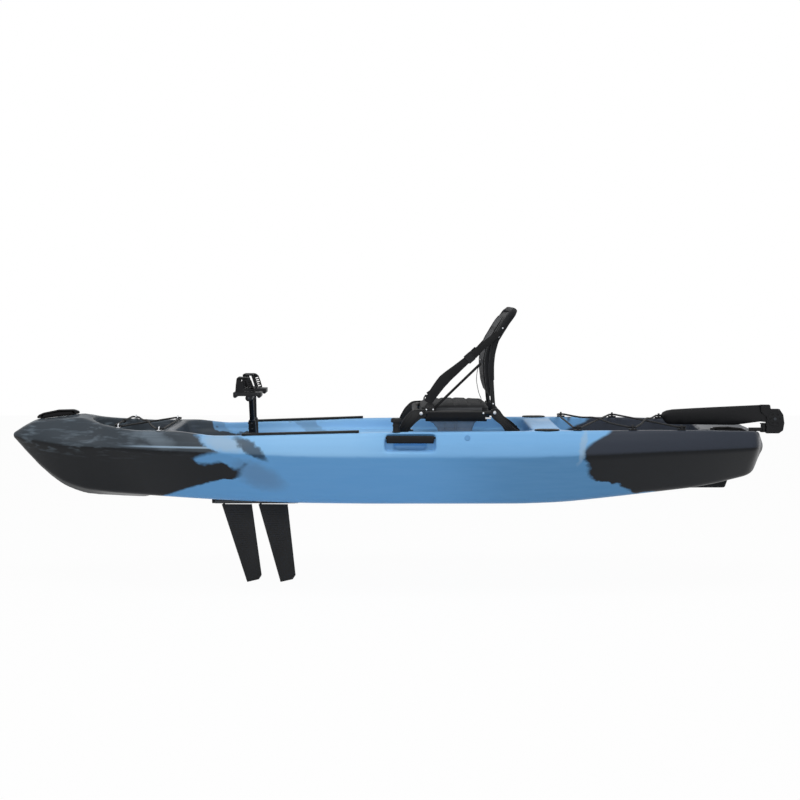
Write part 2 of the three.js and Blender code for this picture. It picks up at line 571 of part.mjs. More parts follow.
// Gear track: a channel with turned-in lips along the gunwale, beside the footwell
function gearTrack() {
  const ends = [track.front, track.rear].map((x) => {
    const at = hullAt(x);
    return new THREE.Vector3(x, at.gunwaleY - fittingInset, at.gunwaleZ + seatGap);
  });
  const [half, wall] = [track.width / 2, track.wall];
  const side = [[half, 0], [half, track.height], [half - track.lip, track.height],
    [half - track.lip, track.height - wall], [half - wall, track.height - wall], [half - wall, wall]];
  const outline = [...side, ...side.map(([y, z]) => [-y, z]).reverse()];
  const length = ends[0].distanceTo(ends[1]);
  const along = ends[1].clone().sub(ends[0]).normalize();
  const across = new THREE.Vector3(0, 0, 1).cross(along).normalize();
  const up = along.clone().cross(across);
  const shape = new THREE.Shape(outline.map(([y, z]) => new THREE.Vector2(y, z)));
  const geometry = new THREE.ExtrudeGeometry(shape, { depth: length, bevelEnabled: false });
  return solid(geometry.applyMatrix4(new THREE.Matrix4().makeBasis(across, up, along).setPosition(ends[0])));
}

place("right_track", gearTrack(), "black_metal");
place("left_track", mirrored(gearTrack()), "black_metal");

// Rod holder cap: an oval flange with a plug down the holder's tube
function rodHolderCap() {
  const x = (rodCap.front + rodCap.rear) / 2;
  const at = hullAt(x);
  const y = at.gunwaleY - rodCap.inset;
  const bottom = Math.max(hullAt(rodCap.front).gunwaleZ, hullAt(rodCap.rear).gunwaleZ) + seatGap;
  const corner = rodCap.halfWidth / 2;
  const outline = softRectangle(rodCap.front, rodCap.rear, y - rodCap.halfWidth, y + rodCap.halfWidth,
    corner);
  const plug = bar(rodCap.plug, [x, y, at.gunwaleZ - rodCap.plugDepth], [x, y, bottom + seatGap], 20);
  return join(slab(outline, bottom, bottom + rodCap.height), plug);
}

place("right_rod_cap", rodHolderCap(), "black_plastic");
place("left_rod_cap", mirrored(rodHolderCap()), "black_plastic");

// Bow eye: a stainless arch on a small base, open fore and aft for the shock cord
function bowEyeAt(x, side) {
  const { base, halfWidth, halfLength, wire, legs, shoulder, height } = bowEye;
  const outline = softRectangle(-halfLength, halfLength, -halfWidth, halfWidth, wire);
  const arch = [[0, -legs, base / 2], [0, -legs, shoulder], [0, -legs * 0.72, height - wire / 2],
    [0, 0, height]];
  const points = [...arch, ...arch.slice(0, 3).reverse().map(([px, y, z]) => [px, -y, z])];
  return inFrame(join(slab(outline, 0, base), tube(points, wire, 14, 6)), onRim(x, side, fittingInset));
}

// Pad-eye: a moulded ear with a hole along the hull
function padEyeAt(x, side) {
  const { halfLength, halfWidth, base, ear, hole } = padEye;
  const { padThread } = bungee;
  const foot = slab(softRectangle(-halfLength, halfLength, -halfWidth, halfWidth, base), 0, base);
  const top = bar(halfWidth, [-ear / 2, 0, padThread], [ear / 2, 0, padThread], 16);
  const stem = block(-ear / 2, ear / 2, -halfWidth, halfWidth, base / 2, padThread);
  const bore = bar(hole, [-overrun, 0, padThread], [overrun, 0, padThread], 12);
  return inFrame(cut(join(foot, top, stem), bore), onRim(x, side, fittingInset));
}

const sides = [["left", -1], ["right", 1]];
for (const [word, side] of sides) {
  bowEyesAt.forEach((x, k) => place(`bow_eye_${word}_${k + 1}`, bowEyeAt(x, side), "stainless"));
  padEyesAt.forEach((x, k) => place(`pad_eye_${word}_${k + 1}`, padEyeAt(x, side), "black_plastic"));
}

// The turn of a shock cord through one eye, from the inboard side and back to it
function turnAt(x, side, heading, thread) {
  const at = onRim(x, side, fittingInset);
  const turn = [];
  for (let k = -2; k <= 2; k++) {
    const angle = k * quarterTurn / 2;
    const along = Math.sin(angle) * bungee.turn * heading;
    const inboard = (1 - Math.cos(angle)) * bungee.turn;
    const point = new THREE.Vector3(along, -side * inboard, thread).applyMatrix4(at);
    turn.push([point.x, point.y, point.z]);
  }
  return turn;
}

// A straight run between two turns, lifted in the middle where it crosses another run
function run(from, to, lift, count = 5) {
  const points = [];
  for (let k = 1; k < count; k++) {
    const t = k / count;
    const hump = lift * Math.exp(-(((t - 0.5) / 0.16) ** 2));
    points.push(from.map((v, i) => v + (to[i] - v) * t + (i === 2 ? hump : 0)));
  }
  return points;
}

function lace(turns, lifts) {
  const points = [...turns[0]];
  for (let k = 1; k < turns.length; k++) {
    const from = points[points.length - 1];
    points.push(...run(from, turns[k][0], lifts[k - 1], lifts[k - 1] ? 10 : 4), ...turns[k]);
  }
  return points;
}

// Bow shock cord: crossed over the well through four eyes, its ends knotted together in front
function bowCord() {
  const [front, rear] = bowEyesAt;
  const { thread, knot, knotGap, hump } = bungee;
  const turns = [
    turnAt(front, -1, 1, thread), turnAt(rear, 1, 1, thread), turnAt(rear, -1, -1, thread), turnAt(front,
      1, -1, thread),
  ];
  const points = lace(turns, [0, 0, hump]);
  const [first, last] = [points[0], points[points.length - 1]];
  const start = [first[0], -knotGap / 2, first[2]];
  const end = [last[0], knotGap / 2, last[2]];
  const route = [start, ...run(start, first, 0, 3), ...points, ...run(last, end, 0, 3), end];
  const tie = new THREE.SphereGeometry(knot, 10, 8).scale(1, knotGap / knot, 1);
  return join(cord(route, bungee.radius), solid(tie.translate(first[0], 0, first[2])));
}

// Stern shock cord: zigzag to the front pad-eyes and back, knotted at the last two
function sternCord() {
  const { padThread, hump, knot } = bungee;
  const [front, middle, rear] = padEyesAt;
  const turns = [
    turnAt(rear, -1, -1, padThread), turnAt(middle, 1, -1, padThread), turnAt(front, -1, -1, padThread),
    turnAt(front, 1, 1, padThread), turnAt(middle, -1, 1, padThread), turnAt(rear, 1, 1, padThread),
  ];
  turns[0] = turns[0].slice(1);
  turns[5] = turns[5].slice(0, 4);
  const points = lace(turns, [0, 0, 0, hump, hump]);
  const knots = [points[0], points[points.length - 1]].map(([x, y, z]) => (
    solid(new THREE.SphereGeometry(knot * 0.7, 8, 6).translate(x, y, z))
  ));
  return join(cord(points, bungee.radius), ...knots);
}

place("bow_bungee", bowCord(), "shock_cord");
place("stern_bungee", sternCord(), "shock_cord");

// Round plug in the port side
const plugHead = bar(sidePlug.head, plugFace(seatGap - sidePlug.headDepth), plugFace(sidePlug.proud), 20);
const plugShank = bar(
  sidePlug.shank, plugFace(-sidePlug.headDepth - sidePlug.shankDepth), plugFace(-sidePlug.headDepth / 2), 12,
);
place("side_plug", join(plugHead, plugShank), "hull_plastic");

// Steering: a post on the port gunwale, and a cap with a lever that turns on it
const steeringAt = { y: fittingInset - hullAt(steering.x).gunwaleY, z: hullAt(steering.x).gunwaleZ +
  seatGap };

function steeringBar(radius, low, high, sidesOfBar = 20, topRadius = radius) {
  const at = (h) => [steering.x, steeringAt.y, steeringAt.z + h];
  return bar(radius, at(low), at(high), sidesOfBar, topRadius);
}

const post = cut(
  steeringBar(steering.radius, 0, steering.height),
  steeringBar(steering.stem + pinFit, steering.height - steering.stemDepth - pinFit,
    steering.height + overrun, 12),
);
place("steering_post", post, "black_plastic");

function steeringCap() {
  const { height, cap, capHeight, stem, stemDepth, x } = steering;
  const low = height + seatGap;
  const { length, width, thickness } = steeringLever;
  const [bottom, y] = [steeringAt.z + low + capHeight / 3, steeringAt.y];
  const lever = slab(
    softRectangle(x - width / 2, x + width / 2, y, y + length, width / 3), bottom, bottom + thickness,
  );
  return join(
    steeringBar(cap, low, low + capHeight, 20, cap * 0.86), lever, steeringBar(stem, height - stemDepth,
      low + seatGap, 12),
  );
}

place("steering_lever", steeringCap(), "black_plastic");

const drive = subassembly(driveX);

// Drive spine: the web in the well, with tongues, the crank axle, three lugs for the fin axle and two
// idler pins
const idlersAt = [slot.front + idler.inset, slot.rear - idler.inset];
const lugs = [
  [frontFin.hubFront - mastAxle.play - mastAxle.lugLength, frontFin.hubFront - mastAxle.play],
  [frontFin.hubRear + mastAxle.play, rearFin.hubFront - mastAxle.play],
  [rearFin.hubRear + mastAxle.play, rearFin.hubRear + mastAxle.play + mastAxle.lugLength],
];

function driveSpine() {
  const { x, z } = crankAxis;
  const beam = block(slot.front + web.end, slot.rear - web.end, -web.halfWidth, web.halfWidth, web.bottom,
    web.top);
  const ends = [[slot.front - tongue.reach, slot.front + tongue.root], [slot.rear - tongue.root,
    slot.rear + tongue.reach]];
  const tongues = ends.map(([from, to]) => (
    block(from, to, -tongue.halfWidth, tongue.halfWidth, tongue.bottom + seatGap, tongue.top)
  ));
  const rise = plate([
    [x - tower.halfWidth, web.top - seatGap], [x + tower.halfWidth, web.top - seatGap],
      [x + tower.halfWidth, z],
    [x + tower.topHalfWidth, tower.top], [x - tower.topHalfWidth, tower.top], [x - tower.halfWidth, z],
  ], -web.halfWidth, web.halfWidth);
  const shaft = bar(crankAxle.radius, [x, -crankAxle.reach, z], [x, crankAxle.reach, z], 16);
  const pins = idlersAt.map((at) => bar(idler.pin, [at, 0, idler.z], [at, -idler.outer - pinFit, idler.z],
    12));
  const hangers = lugs.map(([from, to]) => {
    const round = bar(mastAxle.lug, [from, 0, mastAxle.z], [to, 0, mastAxle.z], 16);
    return join(round, block(from, to, -web.halfWidth, web.halfWidth, mastAxle.z, web.bottom + seatGap));
  });
  const bore = bar(
    mastAxle.radius + pinFit, [slot.front - overrun, 0, mastAxle.z], [slot.rear + overrun, 0, mastAxle.z], 16,
  );
  return cut(join(beam, ...tongues, rise, shaft, ...pins, ...hangers), bore);
}

place("drive_spine", driveSpine(), "black_plastic", drive);
place("fin_axle", bar(mastAxle.radius, [lugs[0][0], 0, mastAxle.z], [lugs[2][1], 0, mastAxle.z], 16),
  "stainless", drive);

// Lift handle: an arch over the drums that stands on the web
function driveHandle() {
  const { x, z } = crankAxis;
  const foot = web.top + seatGap;
  const shape = new THREE.Shape();
  shape.moveTo(x + liftHandle.outer, foot);
  shape.lineTo(x + liftHandle.outer, z);
  shape.absarc(x, z, liftHandle.outer, 0, 2 * quarterTurn);
  shape.lineTo(x - liftHandle.outer, foot);
  shape.lineTo(x - liftHandle.inner, foot);
  shape.lineTo(x - liftHandle.inner, z);
  shape.absarc(x, z, liftHandle.inner, 2 * quarterTurn, 0, true);
  shape.lineTo(x + liftHandle.inner, foot);
  return plate(shape, -liftHandle.halfWidth, liftHandle.halfWidth);
}

place("drive_handle", driveHandle(), "black_plastic", drive);

// The starboard crank: its line runs from inside the drum up and outward to the pedal
const crankStart = new THREE.Vector3(crankAxis.x, crankBar.y, crankAxis.z);
const crankEnd = crankStart.clone().add(new THREE.Vector3(crankLean.x, crankLean.y, crankLength));
const alongCrank = (share) => crankStart.clone().lerp(crankEnd, share).toArray();
const socketShare = crankBar.share - crankArm.socket / crankLength;

function crank() {
  const { x, z } = crankAxis;
  const across = (y) => [x, y, z];
  const disc = bar(drum.radius, across(drum.split), across(drum.outer), 32);
  const groove = bar(drum.groove, across(drum.inner), across(drum.split + seatGap), 24);
  const up = crankEnd.clone().sub(crankStart).normalize();
  const middle = new THREE.Vector3(...alongCrank(crankBar.share / 2));
  const beam = new THREE.BoxGeometry(crankBar.width, crankBar.thickness, crankBar.share * crankLength);
  beam.applyQuaternion(new THREE.Quaternion().setFromUnitVectors(new THREE.Vector3(0, 0, 1), up));
  const fork = solid(beam.translate(middle.x, middle.y, middle.z));
  const shaft = bar(crankAxle.radius + pinFit, across(0), across(crankAxle.reach + overrun), 16);
  const socket = bar(crankArm.radius + pinFit, alongCrank(socketShare), alongCrank(1), 16);
  return cut(join(disc, groove, fork), shaft, socket);
}

// The tube that carries the pedal, with the pedal's axle
function arm() {
  const inner = socketShare + seatGap / crankLength;
  const end = crankEnd.toArray();
  const across = (y) => [crankEnd.x, crankEnd.y + y, crankEnd.z];
  return join(
    bar(crankArm.radius, alongCrank(inner), end, 16),
    bar(crankArm.boss, across(-crankArm.bossHalfWidth), across(crankArm.bossHalfWidth), 16),
    bar(pedalAxle.radius, across(0), across(pedalAxle.reach), 12),
  );
}

const pedalInner = crankEnd.y + crankArm.bossHalfWidth + pedal.sideGap;
const pedalOuter = pedalInner + pedal.width;
const pedalFront = crankEnd.x - pedal.ahead;
const pedalTop = crankEnd.z + pedal.rise + pedal.thickness;

// Pedal: a thick plate over its bearing barrel, with two rubber rolls below
function pedalBody() {
  const { x, z } = crankEnd;
  const rear = pedalFront + pedal.length;
  const body = block(pedalFront, rear, pedalInner, pedalOuter, pedalTop - pedal.thickness, pedalTop);
  const barrel = bar(pedal.barrel, [x, pedalInner, z], [x, pedalOuter, z], 20);
  const rolls = [pedalFront + pedal.knob, rear - pedal.knob].map((at) => (
    bar(pedal.knob, [at, pedalInner, pedalTop - pedal.thickness], [at, pedalOuter,
      pedalTop - pedal.thickness], 12)
  ));
  const bore = bar(pedalAxle.radius + pinFit, [x, 0, z], [x, pedalOuter + overrun, z], 12);
  return cut(join(body, barrel, ...rolls), bore);
}

// Toe cage: two arched side straps, open in the middle, joined by a band over the foot.
// The outlines are shares of the pedal's length and of the cage's height.
const cageShares = [
  [0.08, 0], [0.1, 0.5], [0.12, 0.88], [0.17, 1], [0.68, 1], [0.78, 0.86], [0.86, 0.4], [0.9, 0],
  [0.72, 0], [0.68, 0.3], [0.62, 0.62], [0.54, 0.8], [0.42, 0.8], [0.44, 0.5], [0.52, 0.14], [0.5, 0],
];

function toeStrap() {
  const foot = pedalTop + seatGap;
  const outline = cageShares.map(([s, h]) => [pedalFront + s * pedal.length, foot + h * toeCage.height]);
  const sideOf = (y) => plate(outline, y, y + toeCage.wall);
  const top = foot + toeCage.height;
  const [bridgeFront, bridgeRear] = [outline[3][0], outline[4][0]];
  const bridge = block(bridgeFront, bridgeRear, pedalInner, pedalOuter, top - toeCage.bridge, top);
  return join(sideOf(pedalInner), sideOf(pedalOuter - toeCage.wall), bridge);
}

for (const [word, side] of sides) {
  const handed = (manifold) => (side > 0 ? manifold : mirrored(manifold));
  place(`${word}_crank`, handed(crank()), "red_metal", drive);
  place(`${word}_arm`, handed(arm()), "black_metal", drive);
  place(`${word}_pedal`, handed(pedalBody()), "black_plastic", drive);
  place(`${word}_toe_strap`, handed(toeStrap()), "black_rubber", drive);
}

// Mast: a hub on the fin axle and a rod down inside the fin's leading edge
const rodLine = (shape) => (share) => {
  const x = shape.rootLead + (shape.tipLead - shape.rootLead) * share + mast.setBack;
  return [x, 0, fin.top + (fin.tip - fin.top) * share];
};

function mastOf(shape) {
  const hub = bar(mast.hub, [shape.hubFront, 0, mastAxle.z], [shape.hubRear, 0, mastAxle.z], 16);
  const at = rodLine(shape);
  const [x, y] = at(0);
  const rod = bar(mast.rod, [x, y, mastAxle.z - mast.rodStart], at(mast.share), 12);
  const bore = bar(
    mastAxle.radius + pinFit, [shape.hubFront - overrun, 0, mastAxle.z], [shape.hubRear + overrun, 0,
      mastAxle.z], 16,
  );
  return cut(join(hub, rod), bore);
}

// Fin: a foil that is thick at its mast and thins to the trailing edge and the tip
function finOf(shape) {
  const section = (lead, trail, zLead, zTrail, taper) => {
    const chord = trail - lead;
    const half = fin.thickness / 2 * taper;
    const side = [[0, 0.35], [0.05, 1], [0.3, 0.9], [0.65, 0.5]].map(([s, t]) => [s, t * half]);
    side.push([1, fin.trail / 2]);
    const at = (s, y) => [lead + s * chord, y, zLead + s * (zTrail - zLead)];
    return [...side.map(([s, y]) => at(s, y)), ...side.slice().reverse().map(([s, y]) => at(s, -y))];
  };
  const { rootLead, rootTrail, tipLead, tipTrail } = shape;
  const near = 1 - fin.corner / (fin.top - fin.tipTrail);
  const mix = (a, b) => a + (b - a) * near;
  const body = loft([
    section(rootLead, rootTrail, fin.top, fin.top, 1),
    section(mix(rootLead, tipLead), mix(rootTrail, tipTrail), mix(fin.top, fin.tip), mix(fin.top,
      fin.tipTrail), 0.75),
    section(tipLead, tipTrail - fin.corner, fin.tip, fin.tipTrail - fin.corner / 3, 0.6),
  ]);
  const at = rodLine(shape);
  const [x, y] = at(0);
  const bore = bar(mast.rod + pinFit, [x, y, mastAxle.z - mast.rodStart], at(mast.share + 0.01), 12);
  return cut(body, bore);
}

for (const [word, shape] of [["front", frontFin], ["rear", rearFin]]) {
  place(`${word}_mast`, mastOf(shape), "stainless", drive);
  place(`${word}_fin`, finOf(shape), "fin_plastic", drive);
}

// Idler pulleys on the port side of the web, and the cable round them and the port drum
idlersAt.forEach((x, k) => {
  const wheel = bar(idler.radius, [x, -idler.inner, idler.z], [x, -idler.outer, idler.z], 20);
  const bore = bar(idler.pin + pinFit, [x, 0, idler.z], [x, -overrun, idler.z], 12);
  place(`${k ? "rear" : "front"}_idler`, cut(wheel, bore), "stainless", drive);
});

// The closed line round circles [x, z, radius], as the outer points of all their rims
function beltLine(circles, count) {
  const points = circles.flatMap(([x, z, radius]) => Array.from({ length: count }, (_, k) => {
    const angle = k / count * 4 * quarterTurn;
    return [x + radius * Math.cos(angle), z + radius * Math.sin(angle)];
  })).sort((a, b) => a[0] - b[0] || a[1] - b[1]);
  const turn = (o, a, b) => (a[0] - o[0]) * (b[1] - o[1]) - (a[1] - o[1]) * (b[0] - o[0]);
  const half = (list) => list.reduce((hull, p) => {
    while (hull.length > 1 && turn(hull[hull.length - 2], hull[hull.length - 1], p) <= 0) hull.pop();
    return [...hull, p];
  }, []);
  return [...half(points).slice(0, -1), ...half(points.slice().reverse()).slice(0, -1)];
}

function driveCable() {
  const clear = cable.radius + pinFit;
  const corners = 24;
  const outside = 1 / Math.cos(2 * quarterTurn / corners);
  const circles = [
    [crankAxis.x, crankAxis.z, (drum.groove + clear) * outside],
    ...idlersAt.map((x) => [x, idler.z, (idler.radius + clear) * outside]),
  ];
  const line = beltLine(circles, corners);
  const count = 6;
  const points = [];
  line.forEach(([x, z], k) => {
    const before = line[(k + line.length - 1) % line.length];
    const after = line[(k + 1) % line.length];
    const normal = new THREE.Vector2(after[1] - before[1], before[0] - after[0]).normalize();
    for (let j = 0; j < count; j++) {
      const angle = j / count * 4 * quarterTurn;
      const out = Math.cos(angle) * cable.radius;
      points.push([x + normal.x * out, -cable.y + Math.sin(angle) * cable.radius, z + normal.y * out]);
    }
  });
  const faces = [];
  for (let k = 0; k < line.length; k++) {
    for (let j = 0; j < count; j++) {
      const [a, b] = [k * count + j, k * count + (j + 1) % count];
      const next = ((k + 1) % line.length) * count;
      const [c, d] = [next + (j + 1) % count, next + j];
      faces.push(a, b, c, a, c, d);
    }
  }
  return closed(points, faces);
}

place("drive_cable", driveCable(), "stainless", drive);

// Latches: turn buttons on the pad, whose fingers lie over the drive's tongues
latchesAt.forEach((x, k) => {
  const toDrive = k ? -1 : 1;
  const low = padHeight + seatGap;
  const ends = [x, x + toDrive * latch.finger].sort((a, b) => a - b);
  const shape = join(
    bar(latch.radius, [x, 0, low], [x, 0, low + latch.height], 20),
    block(ends[0], ends[1], -latch.fingerWidth / 2, latch.fingerWidth / 2, low, low + latch.height),
    bar(latch.stem, [x, 0, padHeight - latch.stemDepth], [x, 0, low + latch.height / 2], 12),
    block(
      x - latchGrip.halfLength, x + latchGrip.halfLength, -latchGrip.halfWidth, latchGrip.halfWidth,
      low + latch.height / 2, low + latch.height + latchGrip.height,
    ),
  );
  place(`${k ? "rear" : "front"}_latch`, shape, "black_plastic", drive);
});

const seat = subassembly(cockpitRear);
const railY = cockpitSide - rail.inset;
const backY = railY - rail.radius - backTube.sideGap - backTube.radius;

// Seat frame: two side rails, a front cross tube and two flat bars that carry the cushion
function seatFrame() {
  const { front, rear, z, radius } = rail;
  const y = railY;
  const corner = radius * 3;
  const railTube = tube([
    [rear, -y, z], [(front + rear) / 2, -y, z], [front + corner, -y, z], [front, -y + corner, z],
    [front, 0, z], [front, y - corner, z], [front + corner, y, z], [(front + rear) / 2, y, z], [rear, y, z],
  ], radius, 44, 5);
  const half = y - radius + seatBar.thickness;
  const barsAt = [front + seatBar.inset, rear - seatBar.inset];
  const bars = barsAt.flatMap((x) => {
    const [from, to] = [x - seatBar.width / 2, x + seatBar.width / 2];
    const flat = block(from, to, -half, half, seatBar.bottom, seatBar.bottom + seatBar.thickness);
    const ends = [-1, 1].map((side) => {
      const [y0, y1] = [side * half, side * (half - seatBar.thickness)].sort((a, b) => a - b);
      return block(from, to, y0, y1, seatBar.bottom, z);
    });
    return [flat, ...ends];
  });
  const bolts = bar(frontBolt.radius, [frontBolt.x, -y - frontBolt.reach, z], [frontBolt.x,
    y + frontBolt.reach, z], 12);
  const boltEnds = cut(bolts, block(frontBolt.x - overrun, frontBolt.x + overrun, -y, y, z - overrun,
    z + overrun));
  const lugInner = y - strapLug.thickness / 2;
  const strapLugs = [-1, 1].map((side) => {
    const [y0, y1] = [side * lugInner, side * (lugInner + strapLug.thickness)].sort((a, b) => a - b);
    return block(strap.lowX - strapLug.length / 2, strap.lowX + strapLug.length / 2, y0, y1, z,
      z + radius + strapLug.height);
  });
  const pinBore = bar(hinge.pin + pinFit, [hinge.x, -y - overrun, hinge.z], [hinge.x, y + overrun,
    hinge.z], 16);
  return cut(join(railTube, ...bars, boltEnds, ...strapLugs), pinBore);
}

place("seat_frame", seatFrame(), "black_metal", seat);

// Seat legs: curved plates outside the rails, down to feet on the hull's ledges
const legInner = railY + rail.radius + leg.gap;
const ledgeTop = ledgeHeight + seatGap;
const seatRise = rail.z - ledgeTop;
// Outlines as shares of the seat's rise above the ledge, from the bolt that holds the leg
const frontLegShares = [
  [0.14, 0.12], [-0.06, 0.14], [-0.32, 0.06], [-0.56, -0.12], [-0.74, -0.4], [-0.84, -0.72], [-0.88, -1],
  [-0.28, -1], [-0.34, -0.66], [-0.36, -0.46], [-0.24, -0.28], [-0.06, -0.16], [0.16, -0.12],
];
const rearLegShares = [
  [-0.12, 0.1], [0.1, 0.13], [0.26, -0.06], [0.56, -0.42], [0.9, -0.68], [1.14, -0.92], [1.16, -1],
  [0.68, -1], [0.46, -0.68], [0.2, -0.4], [-0.1, -0.14],
];
const frontFootShares = [-0.9, -0.24];
const rearFootShares = [0.62, 1.2];

function seatLeg(boltX, boltZ, boltRadius, shares, footShares) {
  const outline = shares.map(([s, h]) => [boltX + s * seatRise, boltZ + h * (boltZ - ledgeTop)]);
  const body = plate(outline, legInner, legInner + leg.thickness, [[boltX, boltZ, boltRadius + pinFit]]);
  const [from, to] = footShares.map((share) => boltX + share * seatRise);
  return join(body, block(from, to, legInner - leg.footIn, legInner + leg.footOut, ledgeTop,
    ledgeTop + leg.foot));
}

for (const [word, side] of sides) {
  const handed = (manifold) => (side > 0 ? manifold : mirrored(manifold));
  const front = seatLeg(frontBolt.x, frontBolt.z, frontBolt.radius, frontLegShares, frontFootShares);
  const rear = seatLeg(hinge.x, hinge.z, hinge.pin, rearLegShares, rearFootShares);
  place(`${word}_front_leg`, handed(front), "black_metal", seat);
  place(`${word}_rear_leg`, handed(rear), "black_metal", seat);
}

// Cushion: crowned on top, drawn in at its sides, with sewn channels across it
function seatCushion() {
  const bottom = seatBar.bottom + seatBar.thickness + seatGap;
  const sectionShares = [[0.93, 0], [1, 0.2], [0.975, 0.42], [0.94, 0.62], [0.84, 0.8], [0.5, 0.95], [0, 1]];
  const length = cushion.rear - cushion.front;
  const halfWidth = railY - rail.radius - cushion.sideGap;
  const stops = [0, 0.18 * cushion.edge, 0.5 * cushion.edge, cushion.edge];
  const pitch = (length - 2 * cushion.edge) / (cushion.channels + 1);
  const grooves = Array.from({ length: cushion.channels }, (_, k) => cushion.edge + (k + 1) * pitch);
  const beside = grooves.flatMap((s) => [s - cushion.channelDepth, s, s + cushion.channelDepth]);
  const places = [...stops, ...beside, ...stops.map((s) => length - s).reverse()];
  const rings = places.map((s) => {
    const toEnd = Math.min(s, length - s) / cushion.edge;
    const round = toEnd >= 1 ? 1 : Math.sqrt(1 - (1 - toEnd) ** 2);
    const height = cushion.height * (0.34 + 0.66 * round) - (grooves.includes(s) ? cushion.channelDepth : 0);
    const width = halfWidth * (0.94 + 0.06 * round);
    const side = sectionShares.map(([y, z]) => [cushion.front + s, y * width, bottom + z * height]);
    return [...side, ...side.slice(0, -1).reverse().map(([x, y, z]) => [x, -y, z])];
  });
  return loft(rings);
}

place("seat_cushion", seatCushion(), "seat_fabric", seat);

// Backrest: a tube that rises from the hinge and leans back, in shares of its rise and lean
const backShares = [[0, 0], [-0.085, 0.15], [-0.146, 0.463], [0.012, 0.673], [0.244, 0.77], [0.573, 0.883],
  [1, 1]];
const backLine = backShares.map(([s, h]) => [hinge.x + s * backLean, hinge.z + h * backRise]);

function backFrame() {
  const { radius, corner, bend } = backTube;
  const y = backY;
  const side = backLine.map(([x, z]) => [x, y, z]);
  const [topX, , topZ] = side.pop();
  const turn = [[topX, y - corner * 0.1, topZ - corner * 0.25], [topX + bend, y - corner, topZ]];
  const half = [...side, ...turn];
  const points = [...half, [topX + bend, 0, topZ], ...half.slice().reverse().map(([x, py, z]) => [x, -py,
    z])];
  const loop = tube(points, radius, 60, 5);
  const pinEnd = legInner + leg.thickness + seatGap;
  const pins = [-1, 1].flatMap((s) => [
    bar(hinge.pin, [hinge.x, s * y, hinge.z], [hinge.x, s * pinEnd, hinge.z], 12),
    bar(hinge.head, [hinge.x, s * pinEnd, hinge.z], [hinge.x, s * (pinEnd + hinge.headHeight), hinge.z], 12),
  ]);
  const knuckles = [-1, 1].map((s) => (
    bar(radius, [hinge.x, s * (y - radius), hinge.z], [hinge.x, s * (y + radius), hinge.z], 16)
  ));
  return join(loop, ...pins, ...knuckles);
}

place("back_frame", backFrame(), "black_metal", seat);

// Back pad: a curved pad between the side tubes, thickest at the small of the back
function backPadShape() {
  const half = backY - backTube.radius - seatGap;
  const thicknessShares = [[0, 0.45], [0.08, 0.8], [0.3, 1], [0.55, 0.9], [0.8, 0.7], [0.95, 0.5], [1, 0.3]];
  const sectionShares = [[0.9, 0], [1, 0.2], [0.98, 0.5], [0.9, 0.85], [0.55, 0.98], [0, 0.9]];
  const lineAt = (h) => {
    const z = hinge.z + h;
    let i = backLine.findIndex((p) => p[1] >= z);
    i = Math.max(1, i);
    const [a, b] = [backLine[i - 1], backLine[i]];
    return { x: a[0] + (b[0] - a[0]) * (z - a[1]) / (b[1] - a[1]), z };
  };
  const rings = thicknessShares.map(([share, thick]) => {
    const { x, z } = lineAt(backPad.bottom + share * (backPad.top - backPad.bottom));
    const depth = backPad.thickness * thick;
    const narrow = share > 0.9 ? 1 - (share - 0.9) * 1.6 : 1;
    const side = sectionShares.map(([y, d]) => [x + backPad.rearProud - d * depth, y * half * narrow, z]);
    return [...side, ...side.slice(0, -1).reverse().map(([px, y, pz]) => [px, -y, pz])];
  });
  return loft(rings);
}

place("back_pad", backPadShape(), "seat_fabric", seat);

// Back strap: flat webbing from the side of the backrest down to the lug on the rail
function backStrap() {
  const z = hinge.z + strap.topShare * backRise;
  const i = backLine.findIndex((p) => p[1] >= z);
  const [a, b] = [backLine[i - 1], backLine[i]];
  const x = a[0] + (b[0] - a[0]) * (z - a[1]) / (b[1] - a[1]);
  const top = new THREE.Vector2(x, z);
  const low = new THREE.Vector2(strap.lowX, strap.lowZ);
  const across = low.clone().sub(top).normalize().rotateAround(new THREE.Vector2(), quarterTurn);
  across.multiplyScalar(strap.width / 2);
  const topY = backY + backTube.radius + seatGap;
  const lowY = railY + strapLug.thickness / 2 + seatGap * 3;
  const ring = (end, y) => [
    [end.x - across.x, y, end.y - across.y], [end.x + across.x, y, end.y + across.y],
    [end.x + across.x, y + strap.thickness, end.y + across.y], [end.x - across.x, y + strap.thickness,
      end.y - across.y],
  ];
  return loft([ring(top, topY), ring(low, lowY)]);
}

place("right_back_strap", backStrap(), "webbing", seat);
place("left_back_strap", mirrored(backStrap()), "webbing", seat);

const rudder = subassembly(halfLength);

// Rudder base on the stern deck, with the barrel that the rudder turns in
function rudderBracket() {
  const { front, rear, halfWidth, thickness, arm: armHalf } = rudderBase;
  const low = rudderSeatZ + seatGap;
  const foot = slab(softRectangle(front, rear, -halfWidth, halfWidth, thickness), low, low + thickness);
  const middle = (yawAxis.bottom + yawAxis.top) / 2;
  const reach = block(front + thickness, 0, -armHalf, armHalf, low, middle);
  const cutBelow = block(-rudderBase.cutBack, overrun, -overrun, overrun, low - overrun, yawAxis.bottom);
  const barrel = bar(yawAxis.radius, [0, 0, yawAxis.bottom], [0, 0, yawAxis.top], 20);
  const bore = bar(yawAxis.pin + pinFit, [0, 0, yawAxis.bottom - overrun], [0, 0, yawAxis.top + overrun], 12);
  return cut(join(cut(join(foot, reach), cutBelow), barrel), bore);
}

place("rudder_base", rudderBracket(), "black_metal", rudder);

